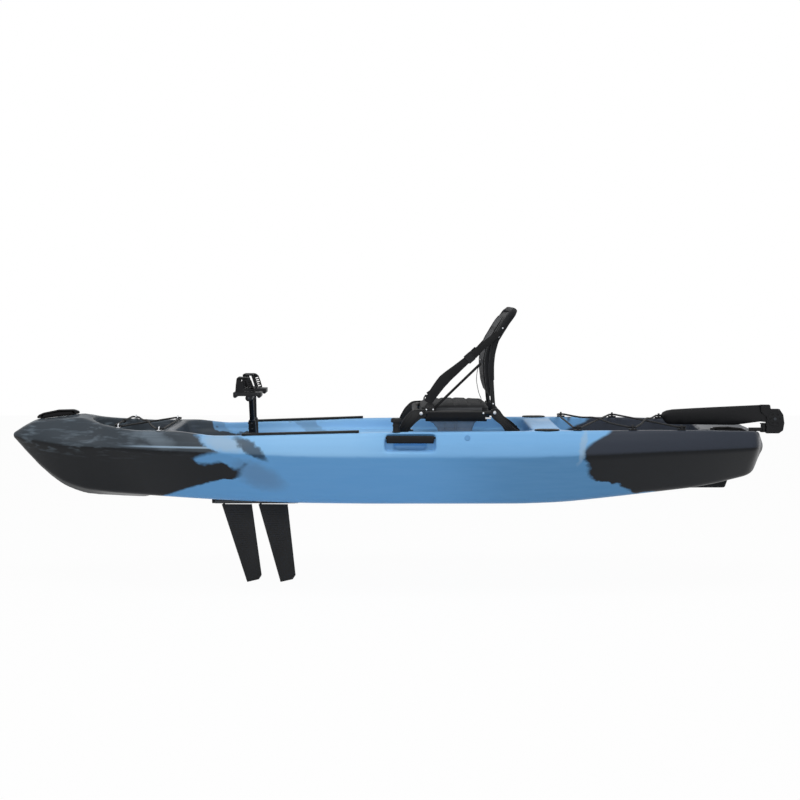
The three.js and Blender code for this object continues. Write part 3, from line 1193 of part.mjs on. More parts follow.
// Rudder head: a pin with a plate above and below the barrel, and two cheeks for the blade
function rudderHead() {
  const { inner, outer, plate: thick, plateFront, plateRear, skirt, front, rear, above, corner,
    horn } = cheek;
  const top = yawAxis.top + seatGap;
  const low = yawAxis.bottom - seatGap;
  const bottom = low - thick - skirt;
  const { x, z } = rudderPivot;
  const outline = [
    [x - front, bottom], [x + rear - corner * 1.3, bottom], [x + rear - corner * 0.3, bottom + corner * 0.7],
    [x + rear, z - corner], [x + rear - corner * 0.3, z + corner], [x + rear - corner * 1.2, z + above],
    [x - corner, z + above], [x - corner * 1.2, z + above + corner], [x - horn, z + above + corner],
    [x - horn, z + above - corner * 0.6], [x - front, z + corner * 0.5],
  ];
  const cheeks = [[-outer, -inner], [inner, outer]].map(([y0, y1]) => (
    plate(outline, y0, y1, [[x, z, rudderPivot.bolt + pinFit]])
  ));
  return join(
    ...cheeks, block(-plateFront, plateRear, -outer, outer, top, top + thick),
    block(-plateFront, plateRear, -outer, outer, low - thick, low),
    bar(yawAxis.pin, [0, 0, low - thick / 2], [0, 0, top + thick / 2], 12),
  );
}

place("rudder_head", rudderHead(), "black_plastic", rudder);

// Blade, stowed: shares of its length ahead of the pivot and of its chord above it
const bladeShares = [
  [0, -0.22], [0.123, -0.136], [0.216, -0.205], [0.35, -0.305], [0.936, -0.26], [0.97, -0.1], [1, 0.182],
  [0.985, 0.32], [0.92, 0.455], [0.5, 0.58],
];

function rudderBlade() {
  const { x, z } = rudderPivot;
  const { length, chord, neck, neckHeight, root, thickness } = blade;
  const outline = bladeShares.map(([a, b]) => [x - a * length, z + b * chord]);
  outline.push([x - neck, z + chord * 0.68], [x - neck, z + neckHeight], [x, z + neckHeight]);
  const half = thickness / 2;
  const body = join(plate(outline, -half, half), bar(root, [x, -half, z], [x, half, z], 28));
  return cut(body, bar(rudderPivot.bolt + pinFit, [x, -overrun, z], [x, overrun, z], 12));
}

place("rudder_blade", rudderBlade(), "blade_plastic", rudder);

const boltSpan = cheek.outer + seatGap;
const boltAt = (y) => [rudderPivot.x, y, rudderPivot.z];
place("rudder_bolt", join(
  bar(rudderPivot.bolt, boltAt(-boltSpan), boltAt(boltSpan), 12),
  bar(rudderPivot.head, boltAt(-boltSpan - rudderPivot.headHeight), boltAt(-boltSpan), 12),
  bar(rudderPivot.head, boltAt(boltSpan), boltAt(boltSpan + rudderPivot.headHeight), 12),
), "stainless", rudder);

export default kayak;
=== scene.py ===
"""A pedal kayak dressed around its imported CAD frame: marbled hull, fin drive, framed seat and kick-up rudder.

Shapes are written in millimetres and turned to metres when a piece is made. X runs from bow (-) to stern (+),
Y from port (-) to starboard (+), Z up, and the origin is on the flat of the hull bottom, amidships.
"""
import json
from functools import partial, reduce
from math import atan2, ceil, copysign, cos, exp, pi, radians, sin, sqrt
from types import SimpleNamespace as Sizes

import bmesh
import bpy
import numpy as np
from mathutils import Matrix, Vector
from mathutils.geometry import tessellate_polygon


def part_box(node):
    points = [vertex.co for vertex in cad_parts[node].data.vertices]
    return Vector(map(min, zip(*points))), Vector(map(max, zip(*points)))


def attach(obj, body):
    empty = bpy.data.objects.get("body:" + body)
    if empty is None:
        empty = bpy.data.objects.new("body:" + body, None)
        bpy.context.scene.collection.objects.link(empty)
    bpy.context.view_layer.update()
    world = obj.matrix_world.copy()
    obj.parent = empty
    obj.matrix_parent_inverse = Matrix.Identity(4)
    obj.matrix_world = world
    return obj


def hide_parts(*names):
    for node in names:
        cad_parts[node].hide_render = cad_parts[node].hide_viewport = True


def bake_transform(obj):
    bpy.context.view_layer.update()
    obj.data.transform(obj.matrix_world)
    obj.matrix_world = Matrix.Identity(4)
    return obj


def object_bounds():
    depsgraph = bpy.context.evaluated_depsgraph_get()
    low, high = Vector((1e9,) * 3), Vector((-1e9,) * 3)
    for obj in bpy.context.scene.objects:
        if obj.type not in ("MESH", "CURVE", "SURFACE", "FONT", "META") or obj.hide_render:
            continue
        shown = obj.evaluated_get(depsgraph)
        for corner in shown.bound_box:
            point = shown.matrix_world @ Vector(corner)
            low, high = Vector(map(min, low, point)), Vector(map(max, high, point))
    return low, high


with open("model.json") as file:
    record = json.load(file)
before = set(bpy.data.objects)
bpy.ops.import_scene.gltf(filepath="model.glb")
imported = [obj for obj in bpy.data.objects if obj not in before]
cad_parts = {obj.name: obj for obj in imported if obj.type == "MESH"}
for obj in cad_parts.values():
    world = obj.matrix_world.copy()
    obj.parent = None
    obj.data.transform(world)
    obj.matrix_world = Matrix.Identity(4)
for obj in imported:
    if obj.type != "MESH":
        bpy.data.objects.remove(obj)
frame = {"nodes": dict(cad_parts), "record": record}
cad_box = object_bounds()
BODY_OF = {node: body for body, nodes in frame["record"]["behaviour"]["bodies"].items() for node in nodes}
SLOT_OF = {part["node"]: part["material_slot"] for part in frame["record"]["subparts"]}

MM = 0.001
SIDES = (("left", -1), ("right", 1))

# Places read from the frame, in millimetres

def box_of(node):
    low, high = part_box(node)
    return np.array(low) / MM, np.array(high) / MM


def middle_of(node):
    low, high = box_of(node)
    return (low + high) / 2


# Mesh building

def ring_faces(bm, rings, closed_along=False):
    """Joins rings of equal length into a skin that is closed at both ends or runs round to its start."""
    made = [[bm.verts.new(p) for p in ring] for ring in rings]
    pairs = list(zip(made, made[1:]))
    if closed_along:
        pairs.append((made[-1], made[0]))
    for a, b in pairs:
        for j in range(len(a)):
            k = (j + 1) % len(a)
            bm.faces.new((a[j], a[k], b[k], b[j]))
    if not closed_along:
        bm.faces.new(made[0][::-1])
        bm.faces.new(made[-1])


def directions(path, closed=False):
    """The unit direction of a path at each of its points."""
    path = np.array(path, float)
    if closed:
        ahead, behind = np.roll(path, -1, axis=0), np.roll(path, 1, axis=0)
    else:
        ahead = np.vstack([path[1:], path[-1:]])
        behind = np.vstack([path[:1], path[:-1]])
    along = ahead - behind
    return along / np.linalg.norm(along, axis=1)[:, None]


def sweep(bm, path, section, up=(0, 0, 1), closed=False, scales=None):
    """Carries a section, as points (across, up), along a path; scales widen or narrow it point by point."""
    path = np.array(path, float)
    along = directions(path, closed)
    across = np.cross(along[0], np.array(up, float))
    if np.linalg.norm(across) < 1e-6:
        across = np.cross(along[0], np.array((1.0, 0, 0)))
    rings = []
    for k, (point, ahead) in enumerate(zip(path, along)):
        across = across - ahead * np.dot(across, ahead)
        across = across / np.linalg.norm(across)
        lift = np.cross(across, ahead)
        size = 1 if scales is None else scales[k]
        rings.append([point + across * u * size + lift * v * size for u, v in section])
    ring_faces(bm, rings, closed_along=closed)


def circle(radius, sides=20):
    turns = [2 * pi * k / sides for k in range(sides)]
    return [(radius * cos(a), radius * sin(a)) for a in turns]


def tube(bm, path, radius, sides=20, closed=False, scales=None):
    sweep(bm, path, circle(radius, sides), closed=closed, scales=scales)


def rod(bm, start, end, radius, sides=24, edge=0.0):
    """A round bar, with a small chamfer of width edge at both ends."""
    start, end = np.array(start, float), np.array(end, float)
    stops = [(0, radius), (1, radius)]
    if edge:
        share = edge / np.linalg.norm(end - start)
        stops = [(0, radius - edge), (share, radius), (1 - share, radius), (1, radius - edge)]
    path = [start + (end - start) * share for share, _ in stops]
    tube(bm, path, 1, sides, scales=[size for _, size in stops])


def round_path(points, step=12.0, closed=False):
    """A smooth path through given points, as even short steps."""
    points = [np.array(p, float) for p in points]
    count = len(points)
    spans = count if closed else count - 1
    path = []
    for k in range(spans):
        if closed:
            p0, p1, p2, p3 = (points[(k + j) % count] for j in (-1, 0, 1, 2))
        else:
            p0, p1, p2, p3 = (points[min(max(k + j, 0), count - 1)] for j in (-1, 0, 1, 2))
        steps = max(2, int(np.linalg.norm(p2 - p1) / step))
        for t in np.linspace(0, 1, steps, endpoint=False):
            path.append(0.5 * (2 * p1 + (p2 - p0) * t + (2 * p0 - 5 * p1 + 4 * p2 - p3) * t ** 2
                               + (3 * p1 - p0 - 3 * p2 + p3) * t ** 3))
    if not closed:
        path.append(points[-1])
    return path


def bent_path(points, radius, steps=6):
    """Straight runs joined by round bends of one radius."""
    points = [np.array(p, float) for p in points]
    path = [points[0]]
    for before, corner, after in zip(points, points[1:], points[2:]):
        back, ahead = before - corner, after - corner
        reach = min(radius, np.linalg.norm(back) * 0.49, np.linalg.norm(ahead) * 0.49)
        start = corner + back / np.linalg.norm(back) * reach
        end = corner + ahead / np.linalg.norm(ahead) * reach
        for t in np.linspace(0, 1, steps):
            path.append(start * (1 - t) ** 2 + 2 * corner * t * (1 - t) + end * t ** 2)
    path.append(points[-1])
    return path


def plate(bm, outline, low, high, place, holes=()):
    """An outline with holes, made solid between two levels. place turns (u, v, level) into a point."""
    loops = [list(outline), *[list(hole) for hole in holes]]
    flat = [[Vector((u, v, 0)) for u, v in loop] for loop in loops]
    points = [point for loop in loops for point in loop]
    bottom = [bm.verts.new(place(u, v, low)) for u, v in points]
    top = [bm.verts.new(place(u, v, high)) for u, v in points]
    for a, b, c in tessellate_polygon(flat):
        bm.faces.new((bottom[a], bottom[b], bottom[c]))
        bm.faces.new((top[c], top[b], top[a]))
    start = 0
    for loop in loops:
        count = len(loop)
        for k in range(count):
            a, b = start + k, start + (k + 1) % count
            bm.faces.new((bottom[b], bottom[a], top[a], top[b]))
        start += count


def upright(u, v, level):
    """Places an outline of (x, z) points in the plane y = level."""
    return (u, level, v)


def flat_lying(u, v, level):
    """Places an outline of (x, y) points in the plane z = level."""
    return (u, v, level)


def facing_aft(u, v, level):
    """Places an outline of (y, z) points in the plane x = level."""
    return (level, u, v)


def block(bm, x0, x1, y0, y1, z0, z1):
    plate(bm, [(x0, y0), (x1, y0), (x1, y1), (x0, y1)], z0, z1, flat_lying)


def rounded_rectangle(x0, x1, y0, y1, corner, steps=5):
    points = []
    for cx, cy, start in ((x1 - corner, y1 - corner, 0), (x0 + corner, y1 - corner, 90),
                          (x0 + corner, y0 + corner, 180), (x1 - corner, y0 + corner, 270)):
        for k in range(steps + 1):
            angle = radians(start + 90 * k / steps)
            points.append((cx + corner * cos(angle), cy + corner * sin(angle)))
    return points


FLAT_ANGLE = 1.5
BEVEL_PROFILE = 0.6


def bevel_edges(bm, width, segments=2, angle=32.0):
    """Makes flat faces whole and rounds the edges that are sharper than angle, in degrees."""
    bmesh.ops.recalc_face_normals(bm, faces=bm.faces)
    bmesh.ops.dissolve_limit(bm, angle_limit=radians(FLAT_ANGLE), verts=bm.verts, edges=bm.edges)
    sharp = [e for e in bm.edges if len(e.link_faces) == 2 and e.calc_face_angle() > radians(angle)]
    if sharp:
        bmesh.ops.bevel(bm, geom=sharp, offset=width, segments=segments, profile=BEVEL_PROFILE,
                        affect="EDGES", clamp_overlap=True)


def object_from(name, bm):
    """Turns a millimetre mesh into a shaded object in metres."""
    bmesh.ops.recalc_face_normals(bm, faces=bm.faces)
    bmesh.ops.scale(bm, vec=(MM, MM, MM), verts=bm.verts)
    mesh = bpy.data.meshes.new(name)
    bm.to_mesh(mesh)
    bm.free()
    made = bpy.data.objects.new(name, mesh)
    bpy.context.scene.collection.objects.link(made)
    return made


def dress(obj, surface, body, slot, *nodes, angle=35.0):
    """Gives a piece its finish, the body that it moves with and the CAD nodes that it stands for."""
    obj.data.materials.clear()
    obj.data.materials.append(surface)
    obj.data.shade_smooth()
    obj.data.set_sharp_from_angle(angle=radians(angle))
    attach(obj, body)
    if nodes:
        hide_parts(*nodes)
    return obj


def make(name, bm, surface, body, slot, *nodes, angle=35.0):
    return dress(object_from(name, bm), surface, body, slot, *nodes, angle=angle)


def stand_in(name, bm, surface, node, angle=35.0):
    """Makes the piece that stands for a CAD node, on the node's own body."""
    return make(name, bm, surface, BODY_OF[node], SLOT_OF[node], node, angle=angle)


def apply_modifiers(obj):
    bpy.context.view_layer.update()
    shaped = obj.evaluated_get(bpy.context.evaluated_depsgraph_get())
    mesh = bpy.data.meshes.new_from_object(shaped)
    obj.modifiers.clear()
    old = obj.data
    obj.data = mesh
    bpy.data.meshes.remove(old)


WELD = 0.02


def node_mesh(node):
    """A CAD node's solid as an open mesh to work on, in millimetres, with its corners joined."""
    bm = bmesh.new()
    bm.from_mesh(frame["nodes"][node].data)
    bmesh.ops.scale(bm, vec=(1 / MM, 1 / MM, 1 / MM), verts=bm.verts)
    bmesh.ops.remove_doubles(bm, verts=bm.verts, dist=WELD)
    return bm


def node_points(node):
    """The corners of a CAD node's solid, in millimetres, one row each."""
    return np.array([v.co for v in frame["nodes"][node].data.vertices]) / MM


# Materials

def linear(code):
    """An sRGB hex colour as the linear colour that a shader takes."""
    parts = [int(code[k:k + 2], 16) / 255 for k in (1, 3, 5)]
    return tuple(c / 12.92 if c <= 0.04045 else ((c + 0.055) / 1.055) ** 2.4 for c in parts) + (1.0,)


def feed(source, socket):
    """Feeds a socket from an output, or from a node's first live output."""
    if isinstance(source, bpy.types.Node):
        source = next(output for output in source.outputs if output.enabled)
    socket.id_data.links.new(source, socket)


def add_node(tree, kind, inputs=(), **settings):
    """Adds one shader node with its settings. inputs pairs a socket's name or number with its value, or with
    the node or the output that feeds it."""
    made = tree.nodes.new("ShaderNode" + kind)
    for name, value in settings.items():
        setattr(made, name, value)
    for name, value in inputs:
        if isinstance(value, (bpy.types.Node, bpy.types.NodeSocket)):
            feed(value, made.inputs[name])
        else:
            made.inputs[name].default_value = value
    return made


def new_material(name, **shader):
    """Starts a material; keywords set its shader's own sockets. Gives the material, what adds nodes to it,
    its shader and the place on the piece."""
    made = bpy.data.materials.new(name)
    made.use_nodes = True
    add = partial(add_node, made.node_tree)
    surface = made.node_tree.nodes["Principled BSDF"]
    for socket, value in shader.items():
        surface.inputs[socket.replace("_", " ")].default_value = value
    return made, add, surface, add("TexCoord").outputs["Object"]


def marbled_polyethylene():
    """Rotomoulded LLDPE, blue with dark slate powder thrown in at both ends: a waxy semi-gloss skin with
    soft, cloudy borders where the two melts ran together, and a faint orange peel from the mould."""
    made, add, surface, place = new_material("marbled_polyethylene", IOR=1.51, Specular_IOR_Level=0.07)
    blue, deep, pale, frost, clay = map(linear, ("#66a3da", "#588fbf", "#90c3ef", "#a4bdd3", "#5e6068"))
    slate, bow_slate_lit, stern_slate_lit, wisp = map(linear, ("#242629", "#454c53", "#3a3f49", "#7d8b97"))
    hull_x, hull_y, hull_z = add("SeparateXYZ", [("Vector", place)]).outputs
    normal = add("NewGeometry").outputs["Normal"]
    facing = add("SeparateXYZ", [("Vector", normal)]).outputs["Z"]
    cloud = add("TexNoise", [("Vector", place), ("Scale", 7.0), ("Detail", 3.0)])
    fine = add("TexNoise", [("Vector", place), ("Scale", 46.0), ("Detail", 3.0)])
    drawn_out = add("Mapping", [("Vector", place), ("Scale", (3.0, 9.0, 30.0))])
    streaks = add("TexNoise", [("Vector", drawn_out), ("Scale", 2.4), ("Detail", 4.0)])

    def rise(value, low, high, first=0.0, last=1.0):
        """A mask that goes smoothly from first at low to last at high."""
        inputs = list(enumerate((value, low, high, first, last)))
        return add("MapRange", inputs, interpolation_type="SMOOTHSTEP")

    def all_of(*masks):
        """1 where every mask is 1. A number among them weakens the whole."""
        return reduce(lambda a, b: add("Math", [(0, a), (1, b)], operation="MULTIPLY"), masks)

    def any_of(*masks):
        """1 where one of the masks is 1."""
        return reduce(lambda a, b: add("Math", [(0, a), (1, b)], operation="MAXIMUM"), masks)

    def outside(mask):
        return add("Math", [(0, 1.0), (1, mask)], operation="SUBTRACT")

    def away_from(value, middle):
        return add("Math", [(0, value), (1, middle)], operation="SUBTRACT")

    def close_to(value, middle, far, near):
        """1 less than near from a middle, and 0 more than far from it."""
        return rise(add("Math", [(0, away_from(value, middle))], operation="ABSOLUTE"), far, near)

    def layer(under, paint, *masks):
        """Lays one colour over another where every mask is 1."""
        return add("Mix", [(0, all_of(*masks)), (6, under), (7, paint)], data_type="RGBA")

    # How far the clouds and the fine grain push a border, in metres. The clouds push little on the port side,
    # where the border's course is known
    port = rise(hull_y, -0.16, -0.24)
    push = all_of(away_from(cloud, 0.5), rise(port, 0.0, 1.0, 0.5, 0.07))
    grain = all_of(away_from(fine, 0.5), 0.024)

    def pushed(along, cloud_share, grain_share):
        by_cloud = add("Math", [(0, push), (1, cloud_share), (2, along)], operation="MULTIPLY_ADD")
        return add("Math", [(0, grain), (1, grain_share), (2, by_cloud)], operation="MULTIPLY_ADD")
    x, z = pushed(hull_x, 1.0, 1.0), pushed(hull_z, 0.4, 0.7)

    def border(along, low, high, points, across, soft):
        """1 beyond a border. Its points give its place across for each place along, in metres."""
        lowest, highest = min(p[1] for p in points), max(p[1] for p in points)
        share = add("MapRange", [("Value", along), ("From Min", low), ("From Max", high)])
        course = add("FloatCurve", [("Value", share)])
        line = course.mapping.curves[0].points
        places = [((p - low) / (high - low), (q - lowest) / (highest - lowest)) for p, q in points]
        line[0].location, line[-1].location = places[0], places[-1]
        for at in places[1:-1]:
            line.new(*at)
        course.mapping.update()
        limit = add("MapRange", [("Value", course), ("To Min", lowest), ("To Max", highest)])
        return rise(away_from(across, limit), -soft, soft)

    # Borders of the slate, as height and place along the hull
    bow_low = [(0.0, -1.03), (0.037, -0.914), (0.068, -0.826), (0.095, -0.741), (0.11, -0.685),
               (0.119, -0.618), (0.165, -0.595), (0.19, -0.574), (0.215, -0.62), (0.24, -0.70),
               (0.262, -0.76), (0.30, -0.79)]
    stern = [(0.03, 1.06), (0.053, 1.013), (0.081, 0.968), (0.10, 0.90), (0.114, 0.844), (0.174, 0.822),
             (0.219, 0.788), (0.259, 0.812), (0.286, 0.855), (0.314, 0.905), (0.362, 0.93)]
    bow_slate = outside(border(z, 0.0, 0.30, bow_low, x, 0.018))
    stern_slate = border(z, 0.03, 0.362, stern, x, 0.015)

    # A pale cloud in the slate ahead of the pedals, between two lines along the hull
    cloud_low = [(-0.80, 0.20), (-0.749, 0.178), (-0.681, 0.19), (-0.625, 0.160), (-0.575, 0.188),
                 (-0.50, 0.22)]
    cloud_high = [(-0.80, 0.20), (-0.743, 0.222), (-0.684, 0.234), (-0.63, 0.25), (-0.575, 0.245),
                  (-0.50, 0.225)]
    pale_cloud = all_of(border(x, -0.80, -0.50, cloud_low, z, 0.011),
                        outside(border(x, -0.80, -0.50, cloud_high, z, 0.011)), port,
                        rise(x, -0.815, -0.785), rise(x, -0.50, -0.53))

    def spot(centre_x, centre_z, turn, length, width, soft):
        """1 within a tilted oval, seen from the side."""
        c, s = cos(turn), sin(turn)
        dx, dz = away_from(x, centre_x), away_from(z, centre_z)
        squares = []
        for u, v in ((c / length, s / length), (-s / width, c / width)):
            lean = add("Math", [(0, dx), (1, u), (2, all_of(dz, v))], operation="MULTIPLY_ADD")
            squares.append(all_of(lean, lean))
        away = add("Math", list(enumerate(squares)), operation="ADD")
        return rise(away, 1 + soft, 1 - soft)

    brown = all_of(spot(-0.553, 0.248, -0.62, 0.078, 0.021, 0.6), port)
    tinge = all_of(spot(-0.53, 0.13, -0.5, 0.10, 0.05, 0.95), port)
    frosted = all_of(spot(-0.665, 0.268, -0.12, 0.10, 0.028, 0.9), port)
    smoke = all_of(spot(-0.965, 0.29, -0.4, 0.09, 0.03, 0.95), port)
    keel_smear = all_of(spot(-1.10, 0.035, -0.2, 0.07, 0.009, 0.9), port)
    stern_rim = all_of(spot(0.783, 0.25, 1.45, 0.06, 0.014, 0.9), port)
    patches = any_of(spot(-0.745, 0.30, 1.5, 0.09, 0.04, 0.5), spot(-0.36, 0.30, 1.5, 0.09, 0.045, 0.5))
    far_patch = all_of(patches, rise(hull_y, 0.12, 0.2))

    # Painted light: both colours are painted paler on the faces that look up, above the chine where the side
    # leans in, and the blue most ahead of the seat; weak pale streaks run through the blue everywhere. The blue
    # is painted darker, as shade, on the faces that look down, aft of amidships
    up = rise(facing, -0.3, 0.05)
    painted_top_light = close_to(hull_x, -0.3, 0.5, 0.1)
    painted_top_light = all_of(up, add("Math", [(0, painted_top_light), (1, 0.5), (2, 0.42)], operation="MULTIPLY_ADD"))
    streaks_and_painted_light = add("Math", [(0, streaks), (1, 0.2), (2, painted_top_light)], operation="MULTIPLY_ADD")
    body = layer(blue, deep, rise(hull_x, 0.1, 0.6), outside(up))
    body = layer(body, pale, streaks_and_painted_light)
    body = layer(body, frost, frosted, 0.75)
    body = layer(body, clay, tinge, 0.34)
    # Painted light: the slate is painted paler on the faces that look up, as lit from above
    top = layer(bow_slate_lit, stern_slate_lit, rise(hull_x, -0.2, 0.2))
    dark = layer(slate, top, up, rise(hull_z, 0.15, 0.24))
    forward = rise(hull_x, -0.7, -1.15)
    dark = layer(dark, wisp, rise(streaks, 0.5, 0.72), rise(hull_z, 0.17, 0.27), forward, 0.55)
    dark = layer(dark, wisp, any_of(smoke, keel_smear), 0.5)
    # A painted highlight along the chine's edge ahead of the pedals, on the port side
    chine_highlight = all_of(rise(hull_x, -1.15, -0.92), rise(hull_x, -0.66, -0.74))
    dark = layer(dark, frost, close_to(hull_z, 0.249, 0.006, 0.001), port, chine_highlight, 0.8)
    covered = any_of(all_of(bow_slate, outside(all_of(pale_cloud, 0.92))), stern_slate,
                     all_of(far_patch, 0.32), all_of(brown, 0.85))
    colour = layer(layer(body, dark, covered), frost, stern_rim, 0.6)

    # Orange peel is about 3 mm across on the real skin
    peel = add("TexNoise", [("Vector", place), ("Scale", 320.0), ("Detail", 1.0)])
    relief = add("Bump", [("Height", peel), ("Distance", 0.00012), ("Strength", 1.0)])
    feed(colour, surface.inputs["Base Color"])
    feed(rise(cloud, 0.3, 0.7, 0.30, 0.38), surface.inputs["Roughness"])
    feed(relief, surface.inputs["Normal"])
    return made


# Hull

hull_high = box_of("hull")[1]
# Each row is one frame of the hull: place along the half length, then keel height, and the half breadth
# and height of bilge, chine, shoulder and gunwale, then deck height on the centreline.
# Breadths are shares of the half beam, heights are shares of the hull height.
FRAME_SHARES = (
    (-1.0012, 0.713, 0.014, 0.718, 0.029, 0.738, 0.024, 0.751, 0.017, 0.762, 0.765),
    (-0.989, 0.652, 0.029, 0.671, 0.076, 0.724, 0.069, 0.762, 0.048, 0.793, 0.801),
    (-0.971, 0.558, 0.038, 0.586, 0.133, 0.713, 0.119, 0.79, 0.081, 0.837, 0.854),
    (-0.937, 0.392, 0.052, 0.436, 0.219, 0.702, 0.19, 0.818, 0.119, 0.914, 0.934),
    (-0.905, 0.26, 0.076, 0.318, 0.295, 0.696, 0.248, 0.82, 0.157, 0.928, 0.95),
    (-0.871, 0.146, 0.105, 0.221, 0.369, 0.691, 0.29, 0.807, 0.19, 0.942, 0.967),
    (-0.839, 0.083, 0.133, 0.166, 0.433, 0.685, 0.314, 0.793, 0.219, 0.956, 0.983),
    (-0.807, 0.039, 0.167, 0.127, 0.495, 0.682, 0.376, 0.765, 0.252, 0.967, 1),
    (-0.778, 0.028, 0.195, 0.11, 0.548, 0.677, 0.452, 0.749, 0.305, 0.934, 0.953),
    (-0.74, 0.019, 0.229, 0.094, 0.614, 0.671, 0.567, 0.724, 0.476, 0.903, 0.903),
    (-0.672, 0.006, 0.267, 0.075, 0.714, 0.657, 0.69, 0.751, 0.652, 0.867, 0.867),
    (-0.647, 0.003, 0.281, 0.069, 0.743, 0.652, 0.714, 0.751, 0.679, 0.859, 0.859),
    (-0.64, 0.022, 0.286, 0.066, 0.75, 0.652, 0.721, 0.751, 0.686, 0.859, 0.859),
    (-0.525, 0.008, 0.424, 0.05, 0.862, 0.641, 0.824, 0.74, 0.767, 0.856, 0.856),
    (-0.454, 0.004, 0.488, 0.039, 0.91, 0.635, 0.871, 0.724, 0.814, 0.809, 0.809),
    (-0.373, 0, 0.543, 0.028, 0.948, 0.624, 0.914, 0.718, 0.855, 0.817, 0.817),
    (-0.235, 0, 0.583, 0.008, 0.986, 0.591, 0.957, 0.718, 0.898, 0.835, 0.835),
    (-0.062, 0, 0.6, 0, 1, 0.577, 0.976, 0.724, 0.917, 0.858, 0.858),
    (0.149, 0, 0.6, 0, 1, 0.575, 0.976, 0.727, 0.921, 0.867, 0.867),
    (0.348, 0, 0.59, 0, 0.995, 0.577, 0.971, 0.729, 0.912, 0.873, 0.873),
    (0.454, 0.006, 0.567, 0.017, 0.981, 0.588, 0.957, 0.735, 0.893, 0.876, 0.876),
    (0.56, 0.025, 0.533, 0.064, 0.955, 0.605, 0.929, 0.743, 0.86, 0.876, 0.876),
    (0.672, 0.066, 0.488, 0.116, 0.9, 0.627, 0.871, 0.751, 0.807, 0.876, 0.876),
    (0.797, 0.119, 0.414, 0.171, 0.819, 0.641, 0.786, 0.757, 0.729, 0.867, 0.845),
    (0.856, 0.16, 0.38, 0.214, 0.765, 0.645, 0.732, 0.757, 0.68, 0.861, 0.792),
    (0.933, 0.249, 0.325, 0.288, 0.681, 0.652, 0.648, 0.751, 0.6, 0.848, 0.778),
    (0.9459, 0.268, 0.305, 0.307, 0.662, 0.653, 0.63, 0.75, 0.582, 0.843, 0.776),
    (0.9558, 0.29, 0.27, 0.328, 0.607, 0.654, 0.576, 0.747, 0.53, 0.836, 0.774),
    (0.9633, 0.318, 0.222, 0.352, 0.512, 0.654, 0.482, 0.742, 0.438, 0.826, 0.772),
    (0.9708, 0.362, 0.16, 0.392, 0.381, 0.65, 0.354, 0.732, 0.314, 0.81, 0.77),
    (0.9801, 0.432, 0.1, 0.455, 0.238, 0.642, 0.218, 0.712, 0.188, 0.785, 0.768),
    (0.9894, 0.5, 0.052, 0.518, 0.119, 0.628, 0.107, 0.672, 0.09, 0.715, 0.71),
    (0.9956, 0.54, 0.026, 0.553, 0.057, 0.615, 0.05, 0.64, 0.042, 0.665, 0.66),
    (0.9988, 0.565, 0.012, 0.572, 0.024, 0.605, 0.021, 0.62, 0.017, 0.635, 0.63),
)
HALF_LENGTH = hull_high[0] / FRAME_SHARES[-1][0]
HALF_BEAM = hull_high[1]
HULL_HEIGHT = hull_high[2]
BREADTH_COLUMNS = (2, 4, 6, 8)
frames = np.array(FRAME_SHARES) * HULL_HEIGHT
frames[:, 0] *= HALF_LENGTH / HULL_HEIGHT
frames[:, BREADTH_COLUMNS] *= HALF_BEAM / HULL_HEIGHT
gaps = np.diff(frames[:, 0])
fairing = np.clip(0.55 * np.minimum(np.append(gaps, gaps[-1]), np.insert(gaps, 0, gaps[0])), 8, 90)
RIM_WIDTH = 38
WALL_DRAFT = 26
END_DRAFT = 20
FOOT_DRAFT = 95
OVERRUN = 60
# The gap below or behind a fitting that sits in the hull
SEAT_GAP = 0.3
BOW_WELL = Sizes(front=-0.7853 * HALF_LENGTH, rear=-0.5787 * HALF_LENGTH, floor=215, corner=62)
FOOTWELL = Sizes(front=-0.557 * HALF_LENGTH, rear=-0.557 * HALF_LENGTH + 612, floor=60, corner=75)
COCKPIT = Sizes(front=FOOTWELL.front, rear=0.3734 * HALF_LENGTH, floor=262, corner=75)
SEAT_WELL = Sizes(rear=0.3485 * HALF_LENGTH, floor=130, ledge=151)
TANK_WELL = Sizes(front=0.4449 * HALF_LENGTH, rear=0.8307 * HALF_LENGTH, floor=200, corner=70)
PAD = Sizes(top=68, half_width=74, bottom=22)
# The skeg in side view: place aft of SKEG_X, and height
SKEG = [(0, 40), (214, 40), (226, 76), (226, 120), (0, 120), (-240, 50)]
SKEG_X = 0.766 * HALF_LENGTH
SKEG_HALF = 15
POCKET = Sizes(depth=26, half_width=34, corner=16, draft=15)
RECESS = Sizes(bottom=236, top=306, corner=13, end_gap=7, pin_z=290.5, pin_radius=5, pin_depth=8.8)
HOLLOW = Sizes(bottom=241, top=268, corner=11, end_gap=30, depth=16)
GRIP_END = 14
RIB = Sizes(half_width=11, corner=10, rise=7, root=25)
SCUPPER = Sizes(radius=12, flare=20, depth=7)
scuppers_at = [(-395, 142), (95, 96), (455, 96), (845, 140), (1205, 120)]


def hull_frame(x):
    """The hull's frame at any place along it, faired so that no crease runs across the skin."""
    reach = np.interp(x, frames[:, 0], fairing)
    offsets = np.linspace(-1, 1, 13)
    weights = 1 - np.abs(offsets)
    near = np.clip(x + offsets * reach, frames[0, 0], frames[-1, 0])
    row = [np.sum(weights * np.interp(near, frames[:, 0], column)) / weights.sum() for column in frames.T]
    return x, *row[1:]


def gunwale_at(x):
    row = hull_frame(x)
    return row[8], row[9]


def deck_at(x):
    return hull_frame(x)[10]


